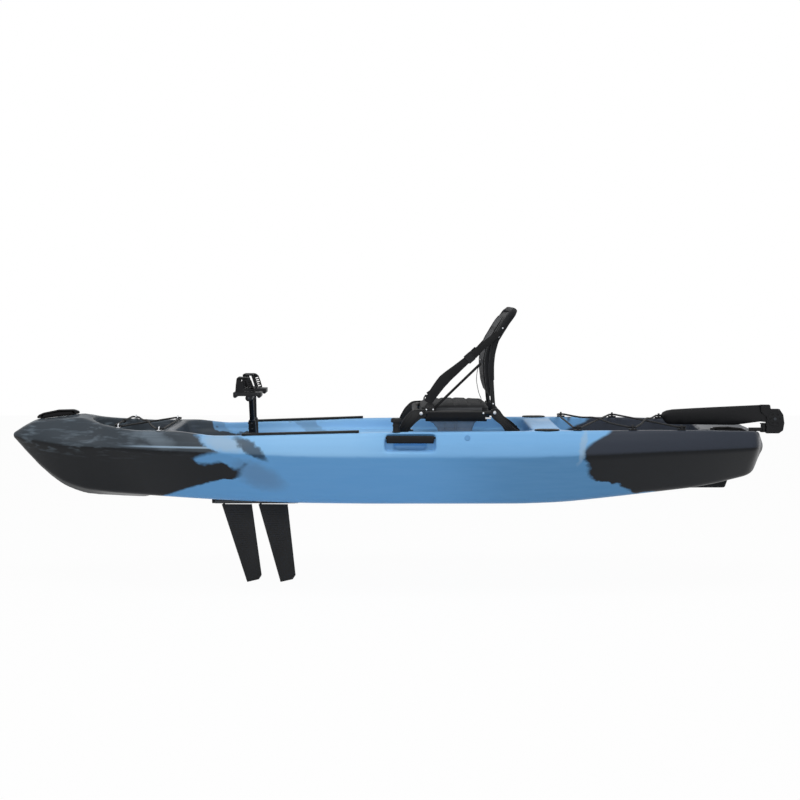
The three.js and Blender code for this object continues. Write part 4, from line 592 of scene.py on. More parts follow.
def hull_section(x):
    """One section of the skin: soft corners at bilge, chine, shoulder and gunwale, tracking grooves below."""
    _, keel, by, bz, cy, cz, sy, sz, gy, gz, deck = hull_frame(x)
    corners = [(by, bz, 46), (cy, cz, 22), (sy, sz, 12), (gy, gz, 9)]
    line = [np.array((0.0, keel)), *[np.array(c[:2]) for c in corners], np.array((0.0, deck))]
    half = []
    groove = 5 * np.interp(x, [-900, -600, 900, 1200], [0, 1, 1, 0])
    for t in np.linspace(0, 0.86, 15):
        y, z = line[0] + (line[1] - line[0]) * t
        half.append((y, z + groove * exp(-((t - 0.55) / 0.07) ** 2)))
    for k, (_, _, radius) in enumerate(corners, 1):
        back, ahead = line[k - 1] - line[k], line[k + 1] - line[k]
        reach = min(radius, 0.12 * np.linalg.norm(back) if k == 1 else 0.4 * np.linalg.norm(back),
                    0.4 * np.linalg.norm(ahead))
        start = line[k] + back / np.linalg.norm(back) * reach
        end = line[k] + ahead / np.linalg.norm(ahead) * reach
        half += [tuple(start * (1 - t) ** 2 + 2 * line[k] * t * (1 - t) + end * t ** 2)
                 for t in np.linspace(0, 1, 6)]
    half.append((0.0, deck))
    port = [(-y, z) for y, z in half[1:-1]][::-1]
    return [(x, y, z) for y, z in half + port]


def hull_skin():
    bm = bmesh.new()
    stations = [frames[0, 0]]
    for a, b in zip(frames[:, 0], frames[1:, 0]):
        stations += list(np.linspace(a, b, max(4, int(ceil((b - a) / 18))))[1:])
    ring_faces(bm, [hull_section(x) for x in stations])
    return object_from("hull_shell", bm)


def well_ring(well, z, side_draft=0.0, end_draft=0.0, half_width=None):
    """A well's edge in plan: its sides follow the gunwale, and its corners are round."""
    front, rear, corner = well.front + end_draft, well.rear - end_draft, well.corner
    turns = [corner * (1 - cos(radians(a))) for a in np.linspace(0, 90, 8)]
    inner = np.linspace(front + corner, rear - corner, 14)[1:-1]
    stops = [front + t for t in turns] + list(inner) + [rear - t for t in reversed(turns)]
    ring = []
    for x in stops:
        depth = min(x - front, rear - x, corner)
        cut = corner - sqrt(max(0.0, corner ** 2 - (corner - depth) ** 2))
        wide = (gunwale_at(x)[0] - RIM_WIDTH if half_width is None else half_width) - side_draft
        ring.append((x, wide - cut, z))
    return ring + [(x, -y, z) for x, y, z in reversed(ring)]


def well_cutter(name, well, side_draft, end_draft):
    bm = bmesh.new()
    rim = gunwale_at(well.rear)[1]
    levels = [(well.floor, 1.0), (rim, 0.0), (HULL_HEIGHT + OVERRUN, 0.0)]
    ring_faces(bm, [well_ring(well, z, side_draft * t, end_draft * t) for z, t in levels])
    return object_from(name, bm)


def cutter(name, build):
    bm = bmesh.new()
    build(bm)
    return object_from(name, bm)


def handle_pocket(node, foot):
    """The finger pocket in the deck below a carry handle."""
    low, high = box_of(node)
    front, rear = low[0] + foot, high[0] - foot
    fall = (deck_at(rear) - deck_at(front)) / (rear - front)

    def build(bm):
        rings = []
        for share, drop in ((0.0, POCKET.depth), (0.15, POCKET.depth * 0.4), (0.5, -OVERRUN)):
            inset = (1 - 2 * share) * POCKET.draft
            half = POCKET.half_width - inset / 2
            outline = rounded_rectangle(front + inset, rear - inset, -half, half, POCKET.corner)
            rings.append([(x, y, deck_at(front) + fall * (x - front) - drop) for x, y in outline])
        ring_faces(bm, rings)
    return cutter(node + "_pocket", build)


def side_recess(side, node):
    """The pocket in the hull's side that a swinging grip hangs in, with a deeper hollow for the fingers."""
    low, high = box_of(node)
    wall = min(abs(low[1]), abs(high[1])) - SEAT_GAP
    grip = [low[0] + GRIP_END, high[0] - GRIP_END]

    def build(bm):
        outer = rounded_rectangle(grip[0] - RECESS.end_gap, grip[1] + RECESS.end_gap, RECESS.bottom,
                                  RECESS.top, RECESS.corner)
        plate(bm, outer, side * wall, side * (HALF_BEAM + OVERRUN), upright)
        y, z = side * (wall + RECESS.pin_depth), RECESS.pin_z
        for at, reach in ((low[0], grip[0]), (grip[1], high[0])):
            rod(bm, (at, y, z), (reach, y, z), RECESS.pin_radius)

    def hollow(bm):
        inner = rounded_rectangle(grip[0] + HOLLOW.end_gap, grip[1] - HOLLOW.end_gap, HOLLOW.bottom,
                                  HOLLOW.top, HOLLOW.corner)
        plate(bm, inner, side * (wall - HOLLOW.depth), side * (wall + 10), upright)
    return [cutter(node + "_recess", build), cutter(node + "_hollow", hollow)]


def drive_well_cutters():
    """The slot for the drive's spine, room for its drums and tongues, and the holes of the turn buttons."""
    spine_low, spine_high = box_of("drive_spine")
    front, rear = spine_low[0] + 23, spine_high[0] - 21
    middle = middle_of("drive_handle")[0]
    made = []
    for name, x0, x1, half, bottom in (
        ("slot", front, rear, 20, -OVERRUN), ("drum", middle - 99, middle + 99, 44, -OVERRUN),
        ("tongue", front - 28.5, rear + 28.5, 16.5, 44),
    ):
        outline = rounded_rectangle(x0, x1, -half, half, 5, steps=3)
        made.append(cutter(name, lambda bm: plate(bm, outline, bottom, HULL_HEIGHT + OVERRUN, flat_lying)))
    stem_inset, stem_top, stem_radius = 15, 120, 5.5
    for node in ("front_latch", "rear_latch"):
        low, high = box_of(node)
        x = low[0] + stem_inset if node == "front_latch" else high[0] - stem_inset
        foot = (x, 0, low[2] - SEAT_GAP)
        made.append(cutter(node + "_hole", lambda bm: rod(bm, foot, (x, 0, stem_top), stem_radius)))
    return made


def scupper_cutters():
    """Drain holes from the wells' floors through the bottom, flared below."""
    made = []
    for x, y in scuppers_at:
        for side in (-1, 1):
            def build(bm):
                path = [(x, side * y, z) for z in (-30, 2, 2 + SCUPPER.depth, 60, 130, 215, 262, 330)]
                sizes = [SCUPPER.flare, SCUPPER.flare, *[SCUPPER.radius] * 6]
                tube(bm, path, 1, 20, scales=sizes)
            made.append(cutter("scupper", build))
    return made


def floor_ribs():
    """Raised ribs that stiffen the floors of the tank well and the seat well."""
    ribs = []
    for y in (-150, -75, 0, 75, 150):
        ribs.append((TANK_WELL.front + 60, TANK_WELL.rear - 60 - abs(y) * 0.2, y, TANK_WELL.floor))
    for y in (-145, 145):
        for front in (-235, 40, 300):
            ribs.append((front, front + 175, y, SEAT_WELL.floor))

    def build(bm):
        for x0, x1, y, z in ribs:
            outline = rounded_rectangle(x0, x1, y - RIB.half_width, y + RIB.half_width, RIB.corner)
            plate(bm, outline, z - RIB.root, z + RIB.rise, flat_lying)
    return cutter("floor_ribs", build)


def hull():
    """The hull's skin with its skeg, wells, pockets and holes, softened as a rotomoulded shell is."""
    shell = hull_skin()

    def skeg(bm):
        plate(bm, [(SKEG_X + x, z) for x, z in SKEG], -SKEG_HALF, SKEG_HALF, upright)

    def pad(bm):
        block(bm, FOOTWELL.front - 20, FOOTWELL.rear + 20, -PAD.half_width, PAD.half_width,
              PAD.bottom, PAD.top)

    def seat_cut(bm):
        low, high = box_of("seat_frame")
        wall = gunwale_at((low[0] + high[0]) / 2)[0] - RIM_WIDTH - WALL_DRAFT / 3
        pit = Sizes(front=FOOTWELL.rear - OVERRUN, rear=SEAT_WELL.rear, corner=44)
        levels = [(SEAT_WELL.floor, 14), (COCKPIT.floor + 2, 0), (HULL_HEIGHT + OVERRUN, 0)]
        ring_faces(bm, [well_ring(pit, z, d, d, half_width=wall - SEAT_WELL.ledge) for z, d in levels])

    def rudder_seat(bm):
        low, high = box_of("rudder_base")
        outline = rounded_rectangle(low[0] - 6, hull_high[0] + OVERRUN, low[1] - 6, high[1] + 6, 8)
        plate(bm, outline, low[2] - SEAT_GAP, HULL_HEIGHT + OVERRUN, flat_lying)

    def rod_holes(bm):
        for node in ("left_rod_cap", "right_rod_cap"):
            x, y, _ = middle_of(node)
            rod(bm, (x, y, box_of(node)[0][2] - 1), (x, y, HULL_HEIGHT + OVERRUN), 20.5)

    def plug_seat(bm):
        low, high = box_of("side_plug")
        middle = (low[0] + high[0]) / 2
        sy, sz, gy, gz = hull_frame(middle)[6:10]
        out = Vector((0, -(gz - sz), sy - gy)).normalized()
        face = Vector((middle, low[1] + 6, high[2] - 8))
        rod(bm, face - out * 3, face + out * 30, 12.6)

    steps = [
        ("UNION", cutter("skeg", skeg)),
        ("DIFFERENCE", well_cutter("bow_well", BOW_WELL, WALL_DRAFT / 2, END_DRAFT)),
        ("DIFFERENCE", well_cutter("cockpit", COCKPIT, WALL_DRAFT / 3, END_DRAFT / 2)),
        ("DIFFERENCE", well_cutter("footwell", FOOTWELL, FOOT_DRAFT, END_DRAFT)),
        ("DIFFERENCE", cutter("seat_pit", seat_cut)),
        ("DIFFERENCE", well_cutter("tank_well", TANK_WELL, WALL_DRAFT, END_DRAFT)),
        ("UNION", cutter("pad", pad)),
        ("UNION", floor_ribs()),
        ("DIFFERENCE", handle_pocket("bow_grip", 24)),
        ("DIFFERENCE", handle_pocket("stern_grip", 22)),
        ("DIFFERENCE", cutter("rudder_seat", rudder_seat)),
        ("DIFFERENCE", cutter("rod_holes", rod_holes)),
        ("DIFFERENCE", cutter("plug_seat", plug_seat)),
    ]
    cuts = drive_well_cutters() + scupper_cutters()
    for word, side in SIDES:
        cuts += side_recess(side, word + "_grip")
    steps += [("DIFFERENCE", cut) for cut in cuts]
    for operation, tool in steps:
        step = shell.modifiers.new(tool.name, "BOOLEAN")
        step.operation, step.object, step.solver = operation, tool, "EXACT"
    # The cut skin is made anew as an even mesh, so that its edges can be drawn soft
    skin = shell.modifiers.new("mould", "REMESH")
    skin.mode, skin.voxel_size = "VOXEL", 0.0052
    soft = shell.modifiers.new("radii", "SMOOTH")
    soft.factor, soft.iterations = 0.5, 14
    apply_modifiers(shell)
    for _, tool in steps:
        bpy.data.objects.remove(tool)
    dress(shell, marbled_polyethylene(), "hull_body", "hull_plastic", "hull", angle=80)


hull()


# Finishes of the fittings

def two_tone(name, dark, pale, scale, detail, grain=None, rough=None, **shader):
    """A finish mottled between two tones. scale is one number per metre, or one for each axis where the marks
    are drawn out. grain is the relief: its pattern, scale, detail, depth in metres and strength. rough maps
    two values of the mottle to two of the roughness."""
    made, add, surface, place = new_material(name, **shader)
    at = place
    if isinstance(scale, tuple):
        at, scale = add("Mapping", [("Vector", place), ("Scale", scale)]), 1.0
    mottle = add("TexNoise", [("Vector", at), ("Scale", scale), ("Detail", detail)])
    tone = add("Mix", [(0, mottle), (6, linear(dark)), (7, linear(pale))], data_type="RGBA")
    feed(tone, surface.inputs["Base Color"])
    if grain:
        kind, scale, detail, depth, strength = grain
        pits = mottle
        if kind:
            pits = add(kind, [("Vector", place), ("Scale", scale), ("Detail", detail)])
        relief = add("Bump", [("Height", pits), ("Distance", depth), ("Strength", strength)])
        feed(relief, surface.inputs["Normal"])
    if rough:
        low, high, smooth, dull = rough
        sheen = add("MapRange", list(enumerate((mottle, low, high, smooth, dull))))
        feed(sheen, surface.inputs["Roughness"])
    return made


def moulded_nylon(name, dark, pale, roughness=0.5):
    """A plastic from a spark-eroded mould: fine pitted grain that scatters the highlight. The grain is 0.3 mm
    across on the real one, drawn at 1.2 mm so that it shows."""
    return two_tone(name, dark, pale, 35.0, 3.0, ("TexVoronoi", 850.0, 0.0, 0.00012, 0.7),
                    (0.3, 0.7, roughness - 0.06, roughness + 0.08), Specular_IOR_Level=0.2)


def stainless(name, dark, pale):
    """Drawn stainless steel, fine lines along the wire: bright where tumbled, dull grey where oxidised."""
    return two_tone(name, dark, pale, (40.0, 700.0, 700.0), 2.0, rough=(0.0, 1.0, 0.16, 0.34), Metallic=1.0)


def woven(name, dark, pale, pitch, depth, sheen=0.08, roughness=0.85):
    """Woven cloth: over-and-under threads, pitch metres apart, along three axes so that no map is needed."""
    made, add, surface, place = new_material(name, Roughness=roughness, Specular_IOR_Level=0.2,
                                             Sheen_Weight=sheen, Sheen_Roughness=0.5)
    waves = []
    for axis in add("SeparateXYZ", [("Vector", place)]).outputs:
        turns = add("Math", [(0, axis), (1, 2 * pi / pitch)], operation="MULTIPLY")
        waves.append(add("Math", [(0, turns)], operation="SINE"))
    threads = reduce(lambda a, b: add("Math", [(0, a), (1, b)], operation="ADD"), waves)
    height = add("MapRange", [("Value", threads), ("From Min", -2.5), ("From Max", 2.5)])
    wear = add("TexNoise", [("Vector", place), ("Scale", 9.0), ("Detail", 3.0)])
    mix = add("Math", [(0, height), (1, 0.5), (2, wear)], operation="MULTIPLY_ADD")
    soft = add("MapRange", [("Value", mix), ("From Min", 0.35), ("From Max", 1.15)])
    tone = add("Mix", [(0, soft), (6, linear(dark)), (7, linear(pale))], data_type="RGBA")
    relief = add("Bump", [("Height", height), ("Distance", depth), ("Strength", 0.8)])
    feed(tone, surface.inputs["Base Color"])
    feed(relief, surface.inputs["Normal"])
    return made


# Powder-coated tube: even satin black. Its orange peel is 1 mm across, drawn at 2 mm so that it shows
COAT = two_tone("powder_coated_aluminium", "#0e0f10", "#18191b", 60.0, 2.0,
                ("TexNoise", 500.0, 1.0, 0.00015, 0.6), Roughness=0.38, Specular_IOR_Level=0.22)
# Glass-filled and plain moulded plastics: satin blacks, a sleeker one for the blade, the tray's grey and the
# hull's own blue
NYLON = moulded_nylon("glass_filled_nylon", "#0f1012", "#1b1c1f")
BLADE = moulded_nylon("polypropylene_blade", "#121315", "#1c1d20", roughness=0.36)
NYLON_GREY = moulded_nylon("grey_polypropylene", "#96999d", "#b0b2b6")
NYLON_BLUE = moulded_nylon("blue_nylon", "#5b8fc2", "#6ca0d0", roughness=0.45)
# Over-moulded rubber: matt, with a grey bloom where hands rub it
RUBBER = two_tone("thermoplastic_rubber", "#0e0e10", "#1d1d1f", 22.0, 4.0,
                  ("TexVoronoi", 420.0, 0.0, 0.0002, 0.6), Roughness=0.72, Specular_IOR_Level=0.2)
STAINLESS = stainless("tumbled_stainless_steel", "#a9acb0", "#d4d6d9")
DULL_STEEL = stainless("oxidised_stainless_steel", "#2f3135", "#45484c")
# Anodised aluminium, dyed magenta: metallic under a thin clear oxide, with turning marks
ANODISED = two_tone("magenta_anodised_aluminium", "#a8173f", "#d22a58", (30.0, 30.0, 900.0), 2.0,
                    (None, 0, 0, 0.00008, 0.5), Metallic=0.9, Roughness=0.32)
# Cast urethane skin of the fins: satin charcoal, slightly greyer where water polishes it
URETHANE = two_tone("cast_urethane", "#17181a", "#262729", 14.0, 4.0, ("TexNoise", 380.0, 2.0, 0.00015, 0.5),
                    Roughness=0.48, Specular_IOR_Level=0.2)
# 600-denier polyester has a thread every 0.6 mm. It and the other cloths are drawn at 2.4 mm and more, so
# that the weave shows: matt for the cloth, open and paler for the mesh, closer and glossier for the webbing
POLYESTER = woven("woven_polyester_600d", "#111214", "#1f2023", 0.0024, 0.0004)
MESH_CLOTH = woven("spacer_mesh", "#202124", "#343538", 0.0042, 0.0006)
MESH_TAPE = woven("grey_mesh_tape", "#46484b", "#5c5e61", 0.0042, 0.0005)
WEBBING = woven("polypropylene_webbing", "#08080a", "#131416", 0.0026, 0.0005, sheen=0.05, roughness=0.7)
BRAID = woven("braided_shock_cord", "#0a0a0c", "#18191b", 0.003, 0.0005, roughness=0.75)


def softened(node, surface, width=1.2, segments=2):
    """A CAD solid with the moulded or broken edges that the real piece has."""
    bm = node_mesh(node)
    bevel_edges(bm, width, segments)
    return stand_in(node + "_shell", bm, surface, node)


# A screw's head in section, as shares of its height and radius: the dome, and the socket in its middle
SCREW_SHARES = [(0, 1), (0.45, 1), (0.8, 0.82), (1, 0.5), (0.996, 0.42), (0.545, 0.4)]
SCREW_SIDES = 12


def screw(bm, place, out, radius=4.5, height=2.0):
    """A domed screw head with a socket, standing out of a surface."""
    place, out = np.array(place, float), np.array(out, float)
    out = out / np.linalg.norm(out)
    side = np.cross(out, (0.3, 0.5, 0.8))
    side = side / np.linalg.norm(side)
    other = np.cross(out, side)
    turns = np.linspace(0, 2 * pi, SCREW_SIDES, endpoint=False)
    ring_faces(bm, [[place + out * height * rise + (side * cos(a) + other * sin(a)) * radius * share
                     for a in turns] for rise, share in SCREW_SHARES])


def steel(name, bm, node="hull"):
    """Makes bright screws or bolts that move with a CAD node."""
    make(name, bm, STAINLESS, BODY_OF[node], "stainless")


# Deck fittings

def deck_fittings():
    for node in ("bow_grip", "stern_grip"):
        carry_handle(node)
    for word, _ in SIDES:
        side_handle(word)
        softened(f"{word}_track", COAT, 0.5, 2)
        rod_cap(word)
        for k in (1, 2):
            bow_eye(f"bow_eye_{word}_{k}")
        for k in (1, 2, 3):
            softened(f"pad_eye_{word}_{k}", NYLON, 1.0, 2)
        track_screws(word)


BAR_BEVEL = 5.5
GRIP = Sizes(inset=13, half_width=14, corner=6, sink=2.6, proud=0.3, steps=4)
GRIP_STOPS = (0, 0.01, 0.03, 0.1, 0.25, 0.5, 0.75, 0.9, 0.97, 0.99, 1)


def carry_handle(node):
    """A carry handle: the arched bar, a thick rubber grip round it and a screw at each foot."""
    low, high = box_of(node)
    bm = node_mesh(node)
    bevel_edges(bm, BAR_BEVEL, 4, angle=50)
    stand_in(node + "_bar", bm, RUBBER, node, angle=60)
    points = node_points(node)
    feet = [points[np.abs(points[:, 0] - x) < 12][:, 2] for x in (low[0], high[0])]
    stations = sorted({*points[:, 0].round()})
    crown = np.array([(x, points[np.abs(points[:, 0] - x) < 9][:, 2].max()) for x in stations])
    grip = bmesh.new()
    rings = []
    corner, slope = GRIP.corner, (feet[1].min() - feet[0].min()) / (high[0] - low[0])
    for share in GRIP_STOPS:
        x = low[0] + GRIP.inset + (high[0] - low[0] - 2 * GRIP.inset) * share
        # The grip's ends are drawn in, over its last 3 hundredths
        size = 0.8 + 0.2 * sqrt(min(1, min(share, 1 - share) / 0.03))
        foot = feet[0].min() + slope * (x - low[0]) - GRIP.sink
        top = np.interp(x, crown[:, 0], crown[:, 1]) + GRIP.proud
        middle, tall, wide = (foot + top) / 2, (top - foot) / 2 * size, GRIP.half_width * size
        section = rounded_rectangle(-wide, wide, -tall, tall, min(corner, tall * 0.6), GRIP.steps)
        rings.append([(x, u, middle + v) for u, v in section])
    ring_faces(grip, rings)
    make(node + "_grip", grip, RUBBER, BODY_OF[node], SLOT_OF[node], angle=50)
    screws = bmesh.new()
    for x, foot in zip((low[0] + 8, high[0] - 8), feet):
        screw(screws, (x, 0, foot.max() - 1.6), (0, 0, 1), 5, 2.4)
    steel(node + "_screws", screws, node)


def side_handle(word):
    """A swinging side grip: a ribbed rubber bar on its pins."""
    node = f"{word}_grip"
    low, high = box_of(node)
    x0, x1 = low[0] + GRIP_END, high[0] - GRIP_END
    _, y, z = (low + high) / 2
    half = (high[1] - low[1]) / 2
    section = rounded_rectangle(-half, half, low[2] - z, high[2] - z, half - 0.2, steps=6)
    bm = bmesh.new()

    def ring(x, across, up):
        return [(x, y + u * across, z + v * up) for u, v in section]

    ends = ((0, 0.86), (0.008, 0.97), (0.02, 1.0), (0.98, 1.0), (0.992, 0.97), (1, 0.86))
    ring_faces(bm, [ring(x0 + (x1 - x0) * share, size, size) for share, size in ends])
    rib_inset, rib_half, ribs = 30, 2.6, 13
    for at in np.linspace(x0 + rib_inset, x1 - rib_inset, ribs):
        ring_faces(bm, [ring(at + d, 1.035, 1.03) for d in (-rib_half, rib_half)])
    rod(bm, (low[0], y, high[2] - half), (high[0], y, high[2] - half), 4.5, 16)
    stand_in(node + "_bar", bm, RUBBER, node, angle=40)


def rod_cap(word):
    """A rod holder's lid: a rounded oval flange, a dished middle and a finger tab."""
    node = f"{word}_rod_cap"
    low, high = box_of(node)
    x, y, _ = middle_of(node)
    bm = bmesh.new()
    base = high[2] - 5
    outline = rounded_rectangle(low[0], high[0], low[1], high[1], 26, steps=8)
    rings = []
    for rise, size in ((0, 1.0), (3, 1.0), (4.6, 0.97), (5, 0.93), (5, 0.72), (3.6, 0.66)):
        rings.append([(x + (px - x) * size, y + (py - y) * size, base + rise) for px, py in outline])
    ring_faces(bm, rings)
    rod(bm, (x, y, low[2]), (x, y, base + 1), 20, 32)
    block(bm, x - 5, x + 5, y - 13, y + 13, base + 2.6, base + 4.9)
    stand_in(node + "_lid", bm, NYLON, node)


def bow_eye(node):
    """A bent stainless wire arch on a small plate."""
    low, high = box_of(node)
    x, y, _ = middle_of(node)
    foot, top = low[2], high[2]
    bm = bmesh.new()
    plate(bm, rounded_rectangle(x - 9, x + 9, y - 15, y + 15, 4), foot + 0.6, foot + 3.2, flat_lying)
    arch = [(x, y - 11, foot + 1), (x, y - 11, foot + 8), (x, y - 8, top - 4), (x, y, top - 2.4),
            (x, y + 8, top - 4), (x, y + 11, foot + 8), (x, y + 11, foot + 1)]
    tube(bm, round_path(arch, 2.5), 2.6, 12)
    stand_in(node + "_wire", bm, STAINLESS, node)


def track_screws(word):
    """Countersunk screws down the middle of a gear track."""
    node = f"{word}_track"
    low, high = box_of(node)
    points = node_points(node)
    ends = [points[np.abs(points[:, 0] - x) < 9] for x in (low[0], high[0])]
    (x0, y0, _), (x1, y1, _) = (end.mean(axis=0) for end in ends)
    z0, z1 = (end[:, 2].min() for end in ends)
    bm = bmesh.new()
    for share in (0.06, 0.28, 0.5, 0.72, 0.94):
        x = low[0] + (high[0] - low[0]) * share
        t = (x - x0) / (x1 - x0)
        screw(bm, (x, y0 + (y1 - y0) * t, z0 * (1 - t) + z1 * t + 2.2), (0, 0, 1), 3.6, 1.4)
    steel(f"{word}_track_screws", bm)


deck_fittings()


# Fin drive

PEDAL_LENGTH = 116
PEDAL_AHEAD = 65
CRANK_LENGTH = 348
CRANK_LEAN = 10
CRANK_SPREAD = 50
CRANK_Y = 25
AXLE_Z = 90
drive_x = middle_of("drive_handle")[0]


def drive_body():
    """The drive's spine with its side screws, the lift handle, the fin axle and the turn buttons."""
    for node, surface, width, segments in (
        ("drive_spine", NYLON, 1.6, 2), ("drive_handle", NYLON, 3.0, 3), ("fin_axle", DULL_STEEL, 0.8, 2),
        ("front_latch", NYLON, 1.4, 2), ("rear_latch", NYLON, 1.4, 2),
    ):
        softened(node, surface, width, segments)
    web, cap_in, cap_out = 6.8, 39.6, 44
    screws, caps = bmesh.new(), bmesh.new()
    for side in (-1, 1):
        for dx in (-150, -118, 118, 152):
            screw(screws, (drive_x + dx, side * web, 50), (0, side, 0), 4, 2)
        for dx in (-24, 24):
            screw(screws, (drive_x + dx, side * web, 128), (0, side, 0), 3.5, 1.8)
        rod(caps, (drive_x, side * cap_in, AXLE_Z), (drive_x, side * cap_out, AXLE_Z), 11, 20, edge=1.2)
        screw(caps, (drive_x, side * (cap_out - 0.2), AXLE_Z), (0, side, 0), 5, 2.2)
    steel("spine_screws", screws)
    steel("crank_axle_caps", caps)


DRUM = Sizes(tip=66.3, root=63.5, teeth=24, face_in=30.2, face_out=32.2, hole_ring=40, hole_radius=9)


def hole_ring(x, z, reach, radius, sides, first=0.0):
    """Outlines of six round holes on a circle, to be cut from a disc."""
    holes = []
    for k in range(6):
        turn = 2 * pi * (k + first) / 6
        cx, cz = x + reach * cos(turn), z + reach * sin(turn)
        holes.append([(cx + u, cz + v) for u, v in circle(radius, sides)][::-1])
    return holes


def crank(word, side):
    """A crank: the toothed face of its cable drum with lightening holes, its bar, its arm and the clamp."""
    body = BODY_OF[f"{word}_crank"]
    crank_halves(word, body)
    softened(f"{word}_arm", COAT, 1.0, 2)
    drum = bmesh.new()
    teeth, count = [], 2 * DRUM.teeth
    for k in range(count):
        turn = 2 * pi * k / count
        radius = DRUM.tip if k % 2 else DRUM.root
        teeth.append((drive_x + radius * cos(turn), AXLE_Z + radius * sin(turn)))
    holes = hole_ring(drive_x, AXLE_Z, DRUM.hole_ring, DRUM.hole_radius, 16, first=0.5)
    plate(drum, teeth, *sorted((side * DRUM.face_in, side * DRUM.face_out)), upright, holes)
    make(f"{word}_drum_face", drum, NYLON, body, "black_plastic")
    clamp = bmesh.new()
    start, end = crank_line(side)
    along = (end - start) / np.linalg.norm(end - start)
    for share in (0.6, 0.67):
        at = start + (end - start) * share
        screw(clamp, at + np.array((0, side * 10.4, 0)), (0, side, 0), 4, 2.4)
        screw(clamp, at + np.array((-15.4, 0, 0)), (-1, 0, 0), 3.6, 2.2)
    collar = start + along * CRANK_LENGTH * 0.7
    rod(clamp, collar - along * 2, collar + along * 7, 13.5, 24, edge=1.5)
    make(f"{word}_clamp_bolts", clamp, DULL_STEEL, body, "stainless")


COAT_FROM_Z = 212


def crank_halves(word, body):
    """The crank's bar: magenta at the drum, and coated black where it stands above the deck."""
    node = f"{word}_crank"
    for name, surface, keep_low in (("bar", ANODISED, True), ("bar_top", COAT, False)):
        bm = node_mesh(node)
        bevel_edges(bm, 1.2, 2)
        whole = bm.verts[:] + bm.edges[:] + bm.faces[:]
        bmesh.ops.bisect_plane(bm, geom=whole, plane_co=(0, 0, COAT_FROM_Z), plane_no=(0, 0, 1),
                               clear_outer=keep_low, clear_inner=not keep_low)
        bmesh.ops.holes_fill(bm, edges=[e for e in bm.edges if len(e.link_faces) == 1])
        make(f"{node}_{name}", bm, surface, body, SLOT_OF[node], *([node] if keep_low else []))


def crank_line(side):
    """The line of a crank, from the drum to the pedal axle, as in the frame's arm."""
    start = np.array((drive_x, side * CRANK_Y, float(AXLE_Z)))
    return start, start + np.array((-CRANK_LEAN, side * CRANK_SPREAD, CRANK_LENGTH))


def pedal(word, side):
    """A pedal: its tread with eight rubber bars, and bolts at its outer end."""
    node, body = f"{word}_pedal", BODY_OF[f"{word}_pedal"]
    low, high = box_of(node)
    softened(node, NYLON, 1.5, 2)
    _, end = crank_line(side)
    front = end[0] - PEDAL_AHEAD
    tread = bmesh.new()
    for x in np.linspace(front + 16, front + PEDAL_LENGTH - 16, 8):
        plate(tread, rounded_rectangle(x - 2.4, x + 2.4, low[1] + 8, high[1] - 8, 2), high[2] - 0.6,
              high[2] + 0.25, flat_lying)
    make(f"{word}_tread", tread, RUBBER, body, "black_rubber")
    bolts = bmesh.new()
    outer = high[1] if side > 0 else low[1]
    rod(bolts, (end[0], outer - side * 0.5, end[2]), (end[0], outer + side * 2, end[2]), 6, 6, edge=1)
    for x in (front + 12, front + PEDAL_LENGTH - 12):
        screw(bolts, (x, outer - side * 0.2, high[2] - 7), (0, side, 0), 2.6, 1.4)
    make(f"{word}_pedal_bolts", bolts, DULL_STEEL, body, "stainless")


CAGE_THICKNESS = 3.6
BRIDGE = Sizes(front=0.15, rear=0.52, thickness=4.4, sag=3, steps=17)

